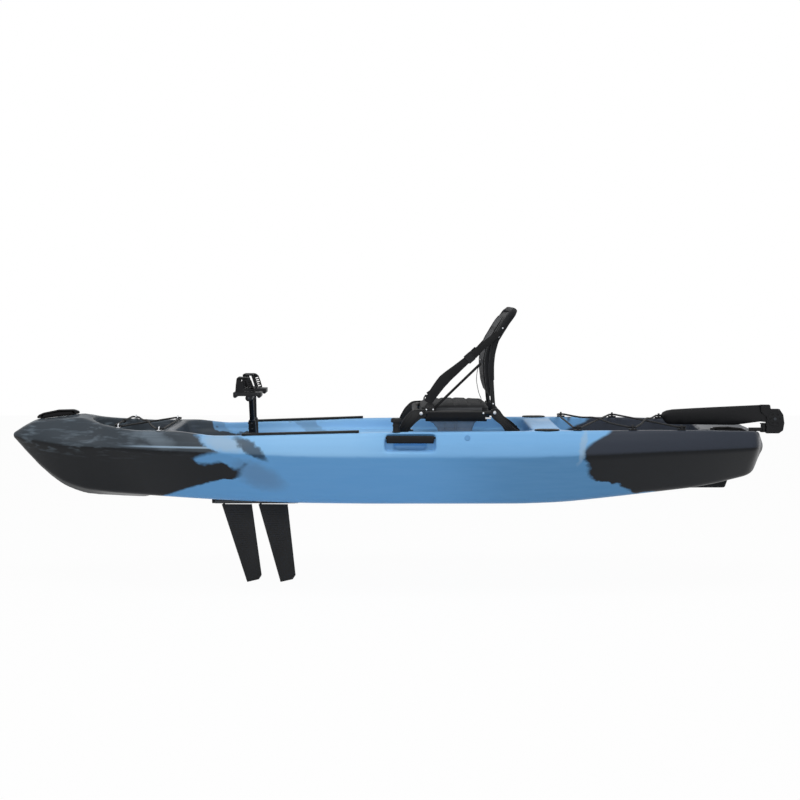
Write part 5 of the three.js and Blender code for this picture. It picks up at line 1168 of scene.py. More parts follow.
def toe_strap(word, side):
    """The cage over the foot: outside a stiff front strip and a ladder band, inside two plain bars, and a
    sheet across the top. Its outlines are shares of the pedal's length and of the cage's height."""
    node = f"{word}_toe_strap"
    low, high = box_of(node)
    base, height = low[2], high[2] - low[2]
    front = crank_line(side)[1][0] - PEDAL_AHEAD
    inner, outer = (low[1], high[1]) if side > 0 else (high[1], low[1])

    def at(shares):
        return [(front + s * PEDAL_LENGTH, base + h * height) for s, h in shares]

    def ladder_edge(h):
        return 0.6 - 0.156 * h, 0.8 - 0.13 * h - 0.05 * h * h

    rungs = []
    for h in (0.09, 0.23, 0.37, 0.51, 0.65):
        left, right = (edge[k] for k, edge in enumerate((ladder_edge(h), ladder_edge(h + 0.03))))
        reach = (right - left) * 0.27
        middle = (left + right) / 2
        rungs.append(at([(middle - reach, h - 0.035), (middle + reach, h + 0.01),
                         (middle + reach, h + 0.075), (middle - reach, h + 0.03)]))
    shell = at([(0.08, 0), (0.1, 0.5), (0.13, 0.93), (0.17, 1), (0.5, 1), (0.58, 0.95),
                *[(ladder_edge(h)[1], h) for h in (0.82, 0.6, 0.4, 0.2, 0)]])
    window = at([(0.3, 0.86), (0.41, 0.07), (ladder_edge(0.07)[0], 0.07), (ladder_edge(0.6)[0], 0.6),
                 (0.44, 0.86)])
    front_bar = at([(0.08, 0), (0.1, 0.5), (0.14, 1), (0.24, 1), (0.2, 0)])
    rear_bar = at([(0.6, 0), (0.52, 0.5), (0.45, 0.9), (0.4, 1), (0.5, 1), (0.55, 0.9), (0.61, 0.5),
                   (0.68, 0)])
    bm = bmesh.new()
    plate(bm, shell, *sorted((outer, outer - side * CAGE_THICKNESS)), upright, [window, *rungs])
    for outline in (front_bar, rear_bar):
        plate(bm, outline, *sorted((inner, inner + side * CAGE_THICKNESS)), upright)
    x0, x1 = front + BRIDGE.front * PEDAL_LENGTH, front + BRIDGE.rear * PEDAL_LENGTH
    ends = sorted((inner, outer))
    bridge = []
    for share in np.linspace(0, 1, BRIDGE.steps):
        y = ends[0] + (ends[1] - ends[0]) * share
        top = high[2] - BRIDGE.sag * abs(2 * share - 1) ** 4
        bottom = top - BRIDGE.thickness
        bridge.append([(x0, y, top), (x1, y, top), (x1, y, bottom), (x0, y, bottom)])
    ring_faces(bm, bridge)
    bevel_edges(bm, 0.6, 2)
    stand_in(f"{word}_strap", bm, RUBBER, node)


RIB_SPACING = 9.5
ROOT_THICKNESS = 7.5


def fin(word):
    """A fin: a thick leading edge over its mast, fine moulded ribs, and a square-cut tip."""
    node = f"{word}_fin"
    bm = node_mesh(node)
    low, high = box_of(node)
    bevel_edges(bm, 1.6, 2, angle=40)
    stand_in(f"{word}_fin_skin", bm, URETHANE, node, angle=30)
    points = node_points(node)
    root = points[np.abs(points[:, 2] - high[2]) < 3][:, 0]
    tip = points[points[:, 2] < low[2] + 24][:, 0]
    ribs = bmesh.new()
    for z in np.arange(low[2] + 46, high[2] - 20, RIB_SPACING):
        t = (z - low[2]) / (high[2] - low[2])
        lead = tip.min() * (1 - t) + root.min() * t
        chord = tip.max() * (1 - t) + root.max() * t - lead
        thick = ROOT_THICKNESS * (0.62 + 0.38 * t)
        for side in (-1, 1):
            shares = ((0.12, 0.955), (0.3, 0.9), (0.65, 0.5), (0.9, 0.245))
            path = [(lead + chord * share, side * thick * depth, z) for share, depth in shares]
            sweep(ribs, path, [(1.1, 0), (0, 1.5), (-1.1, 0), (0, -1.5)], scales=[1.0, 1.0, 1.0, 0.7])
    make(f"{word}_fin_ribs", ribs, URETHANE, BODY_OF[node], SLOT_OF[node])
    softened(f"{word}_mast", DULL_STEEL, 0.8, 2)


CABLE = Sizes(radius=1.6, y=14.3, drum=58.2, pulley=20.2)


def drive_cable():
    """The drive's stranded cable round the port drum and two pulleys: the outline that encloses all three."""
    circles = [(drive_x, AXLE_Z, CABLE.drum)]
    for node in ("front_idler", "rear_idler"):
        x, _, z = middle_of(node)
        circles.append((x, z, CABLE.pulley))
    turns = np.linspace(0, 2 * pi, 90, endpoint=False)
    points = sorted((x + r * cos(a), z + r * sin(a)) for x, z, r in circles for a in turns)

    def half(line):
        kept = []
        for p in line:
            while len(kept) > 1 and ((kept[-1][0] - kept[-2][0]) * (p[1] - kept[-2][1])
                                     - (kept[-1][1] - kept[-2][1]) * (p[0] - kept[-2][0])) <= 0:
                kept.pop()
            kept.append(p)
        return kept[:-1]
    bm = bmesh.new()
    path = [(x, -CABLE.y, z) for x, z in half(points) + half(points[::-1])]
    tube(bm, path, CABLE.radius, 10, closed=True)
    make("port_cable", bm, STAINLESS, "hull_body", "stainless", "drive_cable")


def pulleys():
    """The grooved pulleys that carry the cable along the port side of the spine."""
    for node in ("front_idler", "rear_idler"):
        low, high = box_of(node)
        x, _, z = middle_of(node)
        bm = bmesh.new()
        flange = [(0, 5), (0, 18), (1.2, 18.4), (2.6, 16.4)]
        profile = [(low[1] + u, r) for u, r in flange] + [(high[1] - u, r) for u, r in flange[::-1]]
        ring_faces(bm, [[(x + u, y, z + v) for u, v in circle(radius, 32)] for y, radius in profile])
        screw(bm, (x, low[1] + 0.3, z), (0, -1, 0), 4.6, 2.4)
        stand_in(node + "_wheel", bm, STAINLESS, node)


def fin_drive():
    drive_body()
    for word, side in SIDES:
        crank(word, side)
        pedal(word, side)
        toe_strap(word, side)
    for word in ("front", "rear"):
        fin(word)
    pulleys()
    drive_cable()


fin_drive()


# Seat

RAIL_RADIUS = 11
RAIL_Z = 380
BACK_RADIUS = 9
seat_low, seat_high = box_of("seat_frame")
rail_y = seat_high[1] - 20
leg_y = rail_y + RAIL_RADIUS + 0.4
back_y = rail_y - 28
hinge_at = (seat_high[0] - 6, 383)
front_bolt_at = (seat_low[0] + 35.5, RAIL_Z)
strap_low_at = (front_bolt_at[0] + 36, 432)
front_tube_x = seat_low[0] + 12.5
FRAME_BEND = 58
BAR = Sizes(drop=33, bend=12, half_width=15, half_thickness=3)
# The strap's lug on the rail and its slot, from the middle of its foot
LUG = [(-20, 0), (20, 0), (20, 30), (12, 44), (-12, 44), (-20, 30)]
LUG_SLOT = [(-13, 26), (-13, 33), (13, 33), (13, 26)]
LUG_HALF = 2


def seat_tubes():
    """Side rails and front tube in one bend, two flat bars below the cushion, and a slotted lug for each
    strap."""
    bm = bmesh.new()
    rear = seat_high[0] - 1
    corners = [(rear, -rail_y, RAIL_Z), (front_tube_x, -rail_y, RAIL_Z), (front_tube_x, rail_y, RAIL_Z),
               (rear, rail_y, RAIL_Z)]
    tube(bm, bent_path(corners, FRAME_BEND, 10), RAIL_RADIUS, 28)
    half, top, bottom = rail_y - RAIL_RADIUS + 3, RAIL_Z - 2, RAIL_Z - BAR.drop
    across, thick = BAR.half_width, BAR.half_thickness
    section = [(thick, across), (-thick, across), (-thick, -across), (thick, -across)]
    for x in (front_tube_x + 57, rear - 51):
        path = [(x, -half, top), (x, -half, bottom), (x, half, bottom), (x, half, top)]
        sweep(bm, bent_path(path, BAR.bend, 6), section, up=(1, 0, 0))
    outline, slot = ([(strap_low_at[0] + u, RAIL_Z + v) for u, v in points] for points in (LUG, LUG_SLOT))
    for side in (-1, 1):
        plate(bm, outline, *sorted((side * (rail_y - LUG_HALF), side * (rail_y + LUG_HALF))), upright, [slot])
    bevel_edges(bm, 0.8, 2, angle=50)
    make("seat_tubes", bm, COAT, "hull_body", "black_metal", "seat_frame")
    caps, bolts = bmesh.new(), bmesh.new()
    for side in (-1, 1):
        y = side * rail_y
        rod(caps, (rear - 2, y, RAIL_Z), (rear + 1.5, y, RAIL_Z), RAIL_RADIUS + 0.6, 28, edge=1.2)
        x, z = front_bolt_at
        rod(bolts, (x, side * (leg_y + 6), z), (x, side * (leg_y + 7.4), z), 7, 24, edge=0.4)
        screw(bolts, (x, side * (leg_y + 7.2), z), (0, side, 0), 5, 3.4)
        for dx in (-14, 14):
            screw(bolts, (strap_low_at[0] + dx, side * (rail_y + 1.8), RAIL_Z + 14), (0, side, 0), 3.6, 2)
        screw(bolts, (hinge_at[0] - 46, side * (rail_y + RAIL_RADIUS - 0.6), RAIL_Z), (0, side, 0), 4, 2.4)
        # The bright end of a bar, where the sling stops short of it
        end = side * (rail_y + 3.4)
        block(bolts, 396, 426, end - 1, end + 1, 356, 363)
    make("rail_end_caps", caps, NYLON, "hull_body", "black_plastic")
    steel("seat_bolts", bolts)


# Outlines and feet of the legs from their bolts: along the hull as shares of the rail's height over the
# ledge, and upward as shares of the bolt's height over it. Each rib joins two such places
LEGS = {
    "front": Sizes(
        outline=[(0.14, 0.12), (-0.06, 0.14), (-0.29, 0.11), (-0.48, -0.04), (-0.62, -0.22), (-0.78, -0.56),
                 (-0.89, -1), (-0.42, -1), (-0.47, -0.66), (-0.32, -0.46), (-0.16, -0.3), (0.0, -0.17),
                 (0.16, -0.1)],
        foot=(-0.9, -0.24),
        ribs=[((-0.06, -0.02), (-0.5, -0.55)), ((-0.5, -0.55), (-0.55, -0.96)),
              ((-0.32, 0.0), (-0.74, -0.6))]),
    "rear": Sizes(
        outline=[(-0.12, 0.1), (0.1, 0.13), (0.26, -0.06), (0.56, -0.42), (0.9, -0.68), (1.14, -0.92),
                 (1.16, -1), (0.68, -1), (0.46, -0.68), (0.2, -0.4), (-0.1, -0.14)],
        foot=(0.62, 1.2),
        ribs=[((0.04, -0.04), (0.96, -0.9)), ((0.2, -0.34), (0.78, -0.94))]),
}
LEG = Sizes(web=2.8, rim_inset=2.2, rim_half=2, rim_out=5, rim_in=3, rib_half=3.4, boss=13, foot=5, gusset=20)


def seat_leg(node, side, bolt_at, leg):
    """A cast leg: a thin web inside a raised rim, slanting ribs, and a screwed foot on the hull's ledge."""
    ledge = box_of(node)[0][2]
    rise = RAIL_Z - ledge
    height = bolt_at[1] - ledge
    outline = [(bolt_at[0] + s * rise, bolt_at[1] + h * height) for s, h in leg.outline]
    middle = np.mean(outline, axis=0)
    web = [tuple(middle + (np.array(p) - middle) * 0.975) for p in outline]
    y = side * (leg_y + 3)
    bm = bmesh.new()
    plate(bm, web, *sorted((y - side * LEG.web / 2, y + side * LEG.web / 2)), upright)
    centre = np.array((middle[0], y, middle[1]))
    rim = [np.array((u, y, v)) for u, v in outline]
    rim = [p + (centre - p) / np.linalg.norm(centre - p) * LEG.rim_inset for p in rim]
    half, left, right = LEG.rim_half, LEG.rim_in, -LEG.rim_out
    if side < 0:
        left, right = LEG.rim_out, -LEG.rim_in
    sweep(bm, round_path(rim, 6, closed=True), [(half, left), (-half, left), (-half, right), (half, right)],
          up=(0, 1, 0), closed=True)
    deep = LEG.rib_half
    for rib in leg.ribs:
        ends = [np.array((bolt_at[0] + s * rise, y + side, bolt_at[1] + h * height)) for s, h in rib]
        sweep(bm, ends, [(half, deep), (-half, deep), (-half, -deep), (half, -deep)], up=(0, 1, 0))
    boss_from, boss_to = ((bolt_at[0], side * at, bolt_at[1]) for at in (leg_y, leg_y + 6))
    rod(bm, boss_from, boss_to, LEG.boss, 28, edge=0.8)
    x0, x1 = (bolt_at[0] + s * rise for s in leg.foot)
    y0, y1 = sorted((side * (leg_y - 12), side * (leg_y + 16)))
    plate(bm, rounded_rectangle(x0, x1, y0, y1, 5), ledge, ledge + LEG.foot, flat_lying)
    gusset = [(leg_y + 3, ledge + 4), (leg_y + 14, ledge + 4), (leg_y + 3, ledge + 4 + LEG.gusset)]
    for x in np.linspace(x0 + 14, x1 - 14, 3):
        plate(bm, [(side * u, v) for u, v in gusset], x - 2, x + 2, facing_aft)
    bevel_edges(bm, 0.7, 2, angle=40)
    stand_in(node + "_casting", bm, COAT, node)
    screws = bmesh.new()
    for x in (x0 + 7, x1 - 7):
        screw(screws, (x, side * (leg_y + 11), ledge + LEG.foot - 0.2), (0, 0, 1), 4.4, 2.2)
    steel(node + "_screws", screws)


def ripple(a, b, seed):
    """A smooth, uneven value between -1 and 1, for creases in cloth."""
    value = 0.0
    for k in range(1, 6):
        across = sin(a * (0.9 + 0.63 * k) + seed * 1.7 * k)
        value += across * cos(b * (0.7 + 0.81 * k) + seed + 2.1 * k) / k
    return value / 1.7


def squared(turn, sides, top, bottom):
    """A turn round a softly squared section, from -1 to 1 each way; lower powers make it squarer."""
    c, s = cos(turn), sin(turn)
    u = copysign(abs(c) ** sides, c)
    return u, copysign(abs(s) ** (top if s > 0 else bottom), s)


def dips(at, places, width):
    """How near a place is to the nearest of some seams, from 0 to 1, each as wide as width."""
    return sum(exp(-((at - place) / width) ** 2) for place in places)


CUSHION = Sizes(seam_width=6.5, pucker_width=24, seam_depth=5, pucker=1.1, crown=4, waist=2.2, end=34)

def seat_cushion():
    """The cushion: a crowned foam block in a sewn cover, drawn in along three seams across it."""
    low, high = box_of("seat_cushion")
    length, half, height = high[0] - low[0], high[1], high[2] - low[2]
    seams = [low[0] + 26 + (k + 1) * (length - 52) / 4 for k in range(3)]
    along, around = ((210, 120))
    bm = bmesh.new()
    rings = []
    for i in range(along + 1):
        share = i / along
        # Stations crowd towards the two round ends
        crowd = 1 - 0.35 * sin(pi * share) ** 2
        x = low[0] + length * (0.5 - 0.5 * cos(pi * share) * crowd)
        to_end = min(x - low[0], high[0] - x) / CUSHION.end
        round_end = 1 if to_end >= 1 else sqrt(max(0, 1 - (1 - to_end) ** 2.4))
        top = height * (0.36 + 0.64 * round_end)
        seam = dips(x, seams, CUSHION.seam_width)
        near = dips(x, seams, CUSHION.pucker_width)
        crown = CUSHION.crown * (sin(pi * (x - low[0]) / length) - 1)
        ring = []
        for j in range(around):
            turn = 2 * pi * j / around
            u, v = squared(turn, 0.28 if sin(turn) > 0 else 0.2, 0.62, 0.4)
            y = u * half * (0.93 + 0.07 * round_end)
            z = low[2] + top * 0.42 + v * top * (0.58 if v > 0 else 0.42)
            lift = max(0.0, v)
            pucker = sin(y / 5.4 + 1.3 * sin(x / 31)) * near * (1 - seam) * CUSHION.pucker
            z -= lift * (CUSHION.seam_depth * seam - pucker) * (1 - abs(u) ** 5)
            z += lift * (1.5 * ripple(x / 60, y / 70, 3) + crown)
            y -= u * (1 - lift) * (CUSHION.waist * seam + 0.8 * ripple(x / 35, z / 30, 8))
            ring.append((x, y, z))
        rings.append(ring)
    ring_faces(bm, rings)
    cushion = make("seat_cushion_cover", bm, POLYESTER, "hull_body", "seat_fabric", "seat_cushion", angle=70)
    piping = bmesh.new()
    for level, inset, share in ((0.30, 1, 1.0), (0.70, 7, 0.985)):
        z = low[2] + height * level
        edge = rounded_rectangle(low[0] + inset, high[0] - inset, -half * share, half * share, 30, steps=10)
        tube(piping, [(x, y, z + 0.8 * ripple(x / 40, y / 40, 5)) for x, y in edge], 2.6, 10, closed=True)
    for at in seams:
        line = [(at, y, high[2] - 13.4 - 16 * abs(y / half) ** 7)
                for y in np.linspace(-half * 0.95, half * 0.95, 60)]
        tube(piping, line, 1.0, 8)
    make("cushion_piping", piping, WEBBING, "hull_body", "webbing")
    band = bmesh.new()
    bottom, top, thick = low[2] + 34, low[2] + 50, 4
    for side in (-1, 1):
        rings = []
        for x in np.linspace(low[0] + 62, high[0] - 32, 40):
            face = side * (half + 0.9 + 0.5 * ripple(x / 35, 1, 8))
            back = face - side * thick
            rings.append([(x, face, top), (x, face, bottom), (x, back, bottom), (x, back, top)])
        ring_faces(band, rings)
    make("cushion_side_mesh", band, MESH_TAPE, "hull_body", "seat_fabric")


# The back's tube in side view from its hinge: shares of its lean aft and of its rise
BACK_SHARES = [(0, 0), (-0.085, 0.15), (-0.146, 0.463), (0.012, 0.673), (0.244, 0.77), (0.573, 0.883), (1, 1)]
BACK_LEAN = 82
PAD_DEPTH = 40
BACK_RISE = 419
BACK_CORNER = 52
BACK_CROWN = 5
HINGE_OUT = 6.3
back_line = [(hinge_at[0] + s * BACK_LEAN, hinge_at[1] + h * BACK_RISE) for s, h in BACK_SHARES]
back_curve = np.array([p[[0, 2]] for p in round_path([(x, 0, z) for x, z in back_line], 6)])


def back_at(z):
    return float(np.interp(z, back_curve[:, 1], back_curve[:, 0]))


def back_hoop(above=0.0):
    """The course of the back's tube from one side over the top to the other, as far down as above."""
    top_x, top_z = back_line[-1]
    side = round_path([(x, back_y, z) for x, z in back_line[:-1]], 10)
    crown = np.array((top_x + BACK_CROWN, 0, top_z))
    corner = bent_path([side[-1], (top_x, back_y, top_z - 1), crown], BACK_CORNER, 12)
    half = [p for p in side[:-1] + corner[:-1] if p[2] > above]
    return half + [crown] + [np.array((p[0], -p[1], p[2])) for p in half[::-1]]


def back_frame():
    """The back's bent tube, its hinge pins with capped ends, and the small screws down its sides."""
    bm = bmesh.new()
    tube(bm, back_hoop(), BACK_RADIUS, 24)
    x, z = hinge_at
    pin_end = leg_y + HINGE_OUT
    heads = bmesh.new()
    for side in (-1, 1):
        rod(bm, (x, side * (back_y - 11), z), (x, side * (back_y + 12), z), 12.5, 28, edge=1)
        rod(bm, (x, side * back_y, z), (x, side * pin_end, z), 6, 20)
        rod(heads, (x, side * pin_end, z), (x, side * (pin_end + 4), z), 6.6, 28, edge=0.8)
        screw(heads, (x, side * (pin_end + 3.8), z), (0, side, 0), 4.6, 1.6)
        for at, proud, size in ((417, BACK_RADIUS, 3.6), (698, 13.5, 6.5), (731, 15, 3.2)):
            screw(heads, (back_at(at), side * (back_y + proud - 0.5), at), (0, side, 0), size, 2.4)
    make("back_tube", bm, COAT, "backrest", "black_metal", "back_frame")
    steel("back_screws", heads, "back_frame")


SLEEVE_FROM = 511
# The sleeve's radius at each height
SLEEVE_SIZES = [(511, 9.6), (516, 11.4), (620, 12), (700, 13.5), (745, 15.5), (790, 15), (806, 10.8)]


def back_sleeve():
    """The padded cloth sleeve over the back's tube, fattest round its top corners and creased along its
    length."""
    path = round_path(back_hoop(SLEEVE_FROM), 7)
    around = 28
    bm = bmesh.new()
    rings = []
    for point, ahead in zip(path, directions(path)):
        size = np.interp(point[2], *zip(*SLEEVE_SIZES))
        back = np.array((1.0, 0, 0)) - ahead * ahead[0]
        back = back / np.linalg.norm(back)
        out = np.cross(ahead, back)
        ring = []
        for j in range(around):
            turn = 2 * pi * j / around
            fold = 1 + 0.045 * ripple(turn * 3, point[2] / 26 + abs(point[1]) / 60, 4)
            ring.append(point + (back * cos(turn) + out * sin(turn)) * size * fold)
        rings.append(ring)
    ring_faces(bm, rings)
    make("back_sleeve", bm, POLYESTER, "backrest", "seat_fabric", angle=60)


# The pad's thickness from its bottom to its top, as shares of its height and of its depth
PAD_SHARES = [(0, 0.4), (0.04, 0.6), (0.15, 0.84), (0.3, 0.96), (0.42, 1.0), (0.56, 0.94), (0.7, 0.83),
              (0.84, 0.77), (0.95, 0.74), (1, 0.5)]
PAD_SEAMS = (0.2, 0.4, 0.6, 0.8)
PAD_FORM = Sizes(seam_width=5.5, pucker_width=22, seam_depth=7, hollow=5, set_back=5)


def back_pad():
    """The back pad: foam between the side tubes, a paler mesh face, sewn channels and piping round it."""
    low, high = box_of("back_pad")
    half = high[1]
    seams = [low[2] + (high[2] - low[2]) * s for s in PAD_SEAMS]
    up, around = ((170, 130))

    def hollow_at(across, share):
        return PAD_FORM.hollow * (1 - abs(across) ** 2.2) * sin(pi * share)

    bm = bmesh.new()
    rings = []
    for i in range(up + 1):
        share = i / up
        z = low[2] + (high[2] - low[2]) * share
        depth = PAD_DEPTH * np.interp(share, *zip(*PAD_SHARES))
        x = back_at(z) + PAD_FORM.set_back
        to_end = min(1, min(share, 1 - share) / 0.09)
        narrow = 1 - 0.14 * (1 - to_end) ** 2 - 0.05 * max(0, share - 0.75)
        seam = dips(z, seams, PAD_FORM.seam_width)
        near = dips(z, seams, PAD_FORM.pucker_width)
        ring = []
        for j in range(around):
            u, v = squared(2 * pi * j / around, 0.3, 0.7, 0.3)
            y = u * half * narrow
            face = max(0.0, v)
            pucker = sin(y / 5.2 + 1.1 * sin(z / 23)) * near * (1 - seam)
            drawn_in = PAD_FORM.seam_depth * seam * (1 - abs(u) ** 4) + hollow_at(u, share) - pucker
            front = depth * (0.5 + 0.5 * v) - face * (drawn_in + 1.4 * ripple(y / 60, z / 45, 2))
            ring.append((x - front, y - u * (1 - face) * 0.8 * seam, z))
        rings.append(ring)
    ring_faces(bm, rings)
    pad = make("back_pad_cover", bm, POLYESTER, "backrest", "seat_fabric", "back_pad", angle=70)
    pad.data.materials.append(MESH_CLOTH)
    for face in pad.data.polygons:
        centre = face.center / MM
        inside = abs(centre.y) < half * 0.86 and low[2] + 16 < centre.z < high[2] - 18
        if face.normal.x < -0.25 and inside:
            face.material_index = 1
    piping = bmesh.new()
    for inset, depth_share in ((0.0, 0.5), (0.135, 0.965)):
        wide = half * (0.985 - inset)
        edge = rounded_rectangle(-wide, wide, low[2] + 3 + inset * 95, high[2] - 3 - inset * 110, 34, steps=9)
        path = []
        for y, z, _ in round_path([(y, z, 0) for y, z in edge], 9, closed=True):
            share = (z - low[2]) / (high[2] - low[2])
            depth = PAD_DEPTH * np.interp(share, *zip(*PAD_SHARES)) * depth_share
            hollow = hollow_at(y / half, share) if inset else 0
            path.append((back_at(z) + PAD_FORM.set_back - depth + hollow * 0.9, y, z))
        tube(piping, path, 2.3, 10, closed=True)
    make("back_pad_piping", piping, WEBBING, "backrest", "webbing")


def ribbon(bm, path, widths, thick, facing, slack=0.0):
    """Flat webbing along a path, with its width at each point. facing is where its flat side looks."""
    facing = np.array(facing, float)
    path = [np.array(p, float) + facing * slack * sin(k * 0.35) for k, p in enumerate(path)]
    rings = []
    for point, ahead, width in zip(path, directions(path), widths):
        out = facing - ahead * np.dot(facing, ahead)
        out = out / np.linalg.norm(out)
        across = np.cross(ahead, out)
        section = rounded_rectangle(-thick / 2, thick / 2, -width / 2, width / 2, thick * 0.45, steps=2)
        rings.append([point + out * u + across * v for u, v in section])
    ring_faces(bm, rings)


# Each strap's course from the back's tube to the rail: place along the hull, height and width. Both sag a
# little, and the port one spreads below its buckle.
STRAP_COURSES = {
    "left": [(455, 709, 27), (405, 668, 27), (337, 609, 29), (283, 563, 37), (231, 518, 46), (196, 474, 42),
             (171, 436, 36), (164, 424, 32)],
    "right": [(455, 697, 27), (425, 658, 27), (362, 592, 28), (280, 520, 30), (226, 466, 30), (188, 432, 28),
              (172, 422, 26)],
}
STRAP_THICKNESS = 2.4
BUCKLE_Z = 608
# The thin strap, and the lace from its upper end, as places along the hull and heights
THIN_STRAP = [(384, 584), (373, 575), (270, 476), (169, 377)]
THIN_LACE = [(383, 584), (372, 566), (366, 520), (374, 470), (386, 436), (384, 420)]

def back_straps(word, side):
    """The wide strap from the back's tube through its buckle to the rail, and on the port side a thin one."""
    out = (0, side, 0)
    top_y, low_y = back_y + 15, rail_y + 4.4
    course = STRAP_COURSES[word]
    rise = np.linspace(0, 1, len(course))
    path = round_path([(x, side * (top_y + (low_y - top_y) * r), z) for (x, z, _), r in zip(course, rise)], 8)
    upward = course[::-1]
    widths = [float(np.interp(p[2], [z for _, z, _ in upward], [w for _, _, w in upward])) for p in path]
    wide = bmesh.new()
    ribbon(wide, path, widths, STRAP_THICKNESS, out, 0.4)
    node = f"{word}_back_strap"
    pieces = [make(f"{word}_wide_strap", wide, WEBBING, "hull_body", "webbing", node, angle=50)]
    ahead = path[len(path) // 3] - path[len(path) // 3 - 1]
    ahead = ahead / np.linalg.norm(ahead)
    across = np.cross(ahead, out)
    centre = np.array([p for p in path if p[2] >= BUCKLE_Z][-1]) + np.array((0, side * 0.8, 0))
    buckle = bmesh.new()
    for shift in (-14, 0, 14):
        middle = centre + ahead * shift
        tube(buckle, [middle - across * 17, middle + across * 17], 3.0, 12)
    plan = rounded_rectangle(-15, 15, -16, 16, 4)
    ring_faces(buckle, [[centre + ahead * u + across * w + np.array((0, side * v, 0)) for u, w in plan]
                        for v in (-1.5, 2.0)])
    for sign in (-1, 1):
        edge = centre + across * sign * 17
        tube(buckle, [edge - ahead * 16, edge + ahead * 16], 3.2, 12)
    pieces.append(make(f"{word}_strap_buckle", buckle, NYLON, "hull_body", "black_plastic"))
    if side < 0:
        thin = bmesh.new()
        step = (rail_y - low_y) / 3
        line = round_path([(x, side * (top_y - 1 - k * step), z) for k, (x, z) in enumerate(THIN_STRAP)], 10)
        ribbon(thin, line, [11] * len(line), 1.6, out)
        tube(thin, round_path([(x, side * (top_y - 1), z) for x, z in THIN_LACE], 6), 1.3, 8)
        pieces.append(make("thin_strap", thin, WEBBING, "hull_body", "webbing", angle=50))
    for piece in pieces:
        piece.parent = None
        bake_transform(piece)


SLING_FLOOR = 345.5


def seat_pan():
    """The cloth sling below the cushion, wrapped over both side rails and round the front tube."""
    bm = bmesh.new()
    rings = []
    outer = rail_y + RAIL_RADIUS
    for x in np.linspace(seat_low[0] + 62, seat_high[0] - 44, 48):
        sag = 1.5 * ripple(x / 40, 2, 6)
        line = [(outer - 16, RAIL_Z + 6), (outer + 0.4, RAIL_Z + 4), (outer + 0.8, RAIL_Z - 12),
                (outer - 1 + sag * 0.4, SLING_FLOOR + 6.5), (outer - 8, SLING_FLOOR + 0.5),
                (outer - 60, SLING_FLOOR)]
        rings.append([(x, u, v) for u, v in line] + [(x, u - 1.6, v + 1.4) for u, v in line[::-1]])
    ring_faces(bm, rings)
    whole = bm.verts[:] + bm.edges[:] + bm.faces[:]
    bmesh.ops.mirror(bm, geom=whole, axis="Y", merge_dist=0)
    hem = np.linspace(-rail_y + 50, rail_y - 50, 60)
    sizes = [12.6 + 0.5 * ripple(y / 22, 4, 6) for y in hem]
    tube(bm, [(front_tube_x, y, RAIL_Z) for y in hem], 1, 28, scales=sizes)
    make("seat_pan", bm, WEBBING, "hull_body", "seat_fabric", angle=60)


# The tray's outline at each height: its front, its rear and half its width
TRAY_STEPS = [(343.4, 176, 366, 196), (338, 176, 366, 196), (333, 188, 360, 192), (317, 198, 356, 184),
              (315, 203, 354, 178), (299, 207, 352, 172)]
TRAY_RIB = [(190, 334), (195, 334), (181, 301), (170, 301)]


def seat_tray():
    """A ribbed moulded tray in two steps, slung from the two flat bars below the cushion."""
    bm = bmesh.new()
    rings = []
    for z, x0, x1, half in TRAY_STEPS:
        rings.append([(x, y, z) for x, y in rounded_rectangle(x0, x1, -half, half, 14)])
    ring_faces(bm, rings)
    for x in (232, 240, 272, 280, 288):
        for side in (-1, 1):
            plate(bm, [(side * y, z) for y, z in TRAY_RIB], x - 2, x + 2, facing_aft)
    bevel_edges(bm, 1.0, 2)
    make("seat_tray", bm, NYLON_GREY, "hull_body", "black_plastic")


def seat():
    seat_tubes()
    for word, side in SIDES:
        seat_leg(f"{word}_front_leg", side, front_bolt_at, LEGS["front"])
        seat_leg(f"{word}_rear_leg", side, hinge_at, LEGS["rear"])
        back_straps(word, side)
    seat_cushion()
    seat_pan()
    back_frame()
    back_sleeve()
    back_pad()
    seat_tray()


seat()


# Rudder

def rudder():
    """The rudder's base plate with its screws, the head that turns in it, the pivot and the blade."""
    softened("rudder_base", COAT, 1.2, 3)
    low, _ = box_of("rudder_base")
    screws = bmesh.new()
    for side in (-1, 1):
        for inset in (9, 22):
            screw(screws, (low[0] + inset, side * 24, low[2] + 4.8), (0, 0, 1), 4.4, 2.4)
    steel("rudder_base_screws", screws)
    softened("rudder_head", NYLON, 1.3, 3)
    rudder_pivot()
    rudder_blade()


DISC = Sizes(radius=31, thickness=2.2, hole_ring=21, hole_radius=4.6)


def rudder_pivot():
    """The pivot bolt with its washers, and a disc with lightening holes on each cheek."""
    x, _, z = middle_of("rudder_bolt")
    low, high = box_of("rudder_bolt")
    cheek = box_of("rudder_head")[1][1] - 0.2
    holes = hole_ring(x, z, DISC.hole_ring, DISC.hole_radius, 12)
    outline = [(x + u, z + v) for u, v in circle(DISC.radius, 48)]
    discs = bmesh.new()
    for side in (-1, 1):
        plate(discs, outline, *sorted((side * cheek, side * (cheek + DISC.thickness))), upright, holes)
    bevel_edges(discs, 0.5, 2, angle=50)
    make("rudder_discs", discs, NYLON, "rudder_swivel", "black_plastic")
    bm = bmesh.new()
    rod(bm, (x, low[1] + 4, z), (x, high[1] - 4, z), 5, 20)
    for side, end in ((-1, low[1]), (1, high[1])):
        rod(bm, (x, end - side * 4, z), (x, end, z), 8, 6, edge=0.8)
        rod(bm, (x, end - side * 3.9, z), (x, end - side * 2.9, z), 9.6, 28)
    stand_in("rudder_pivot_bolt", bm, DULL_STEEL, "rudder_bolt")


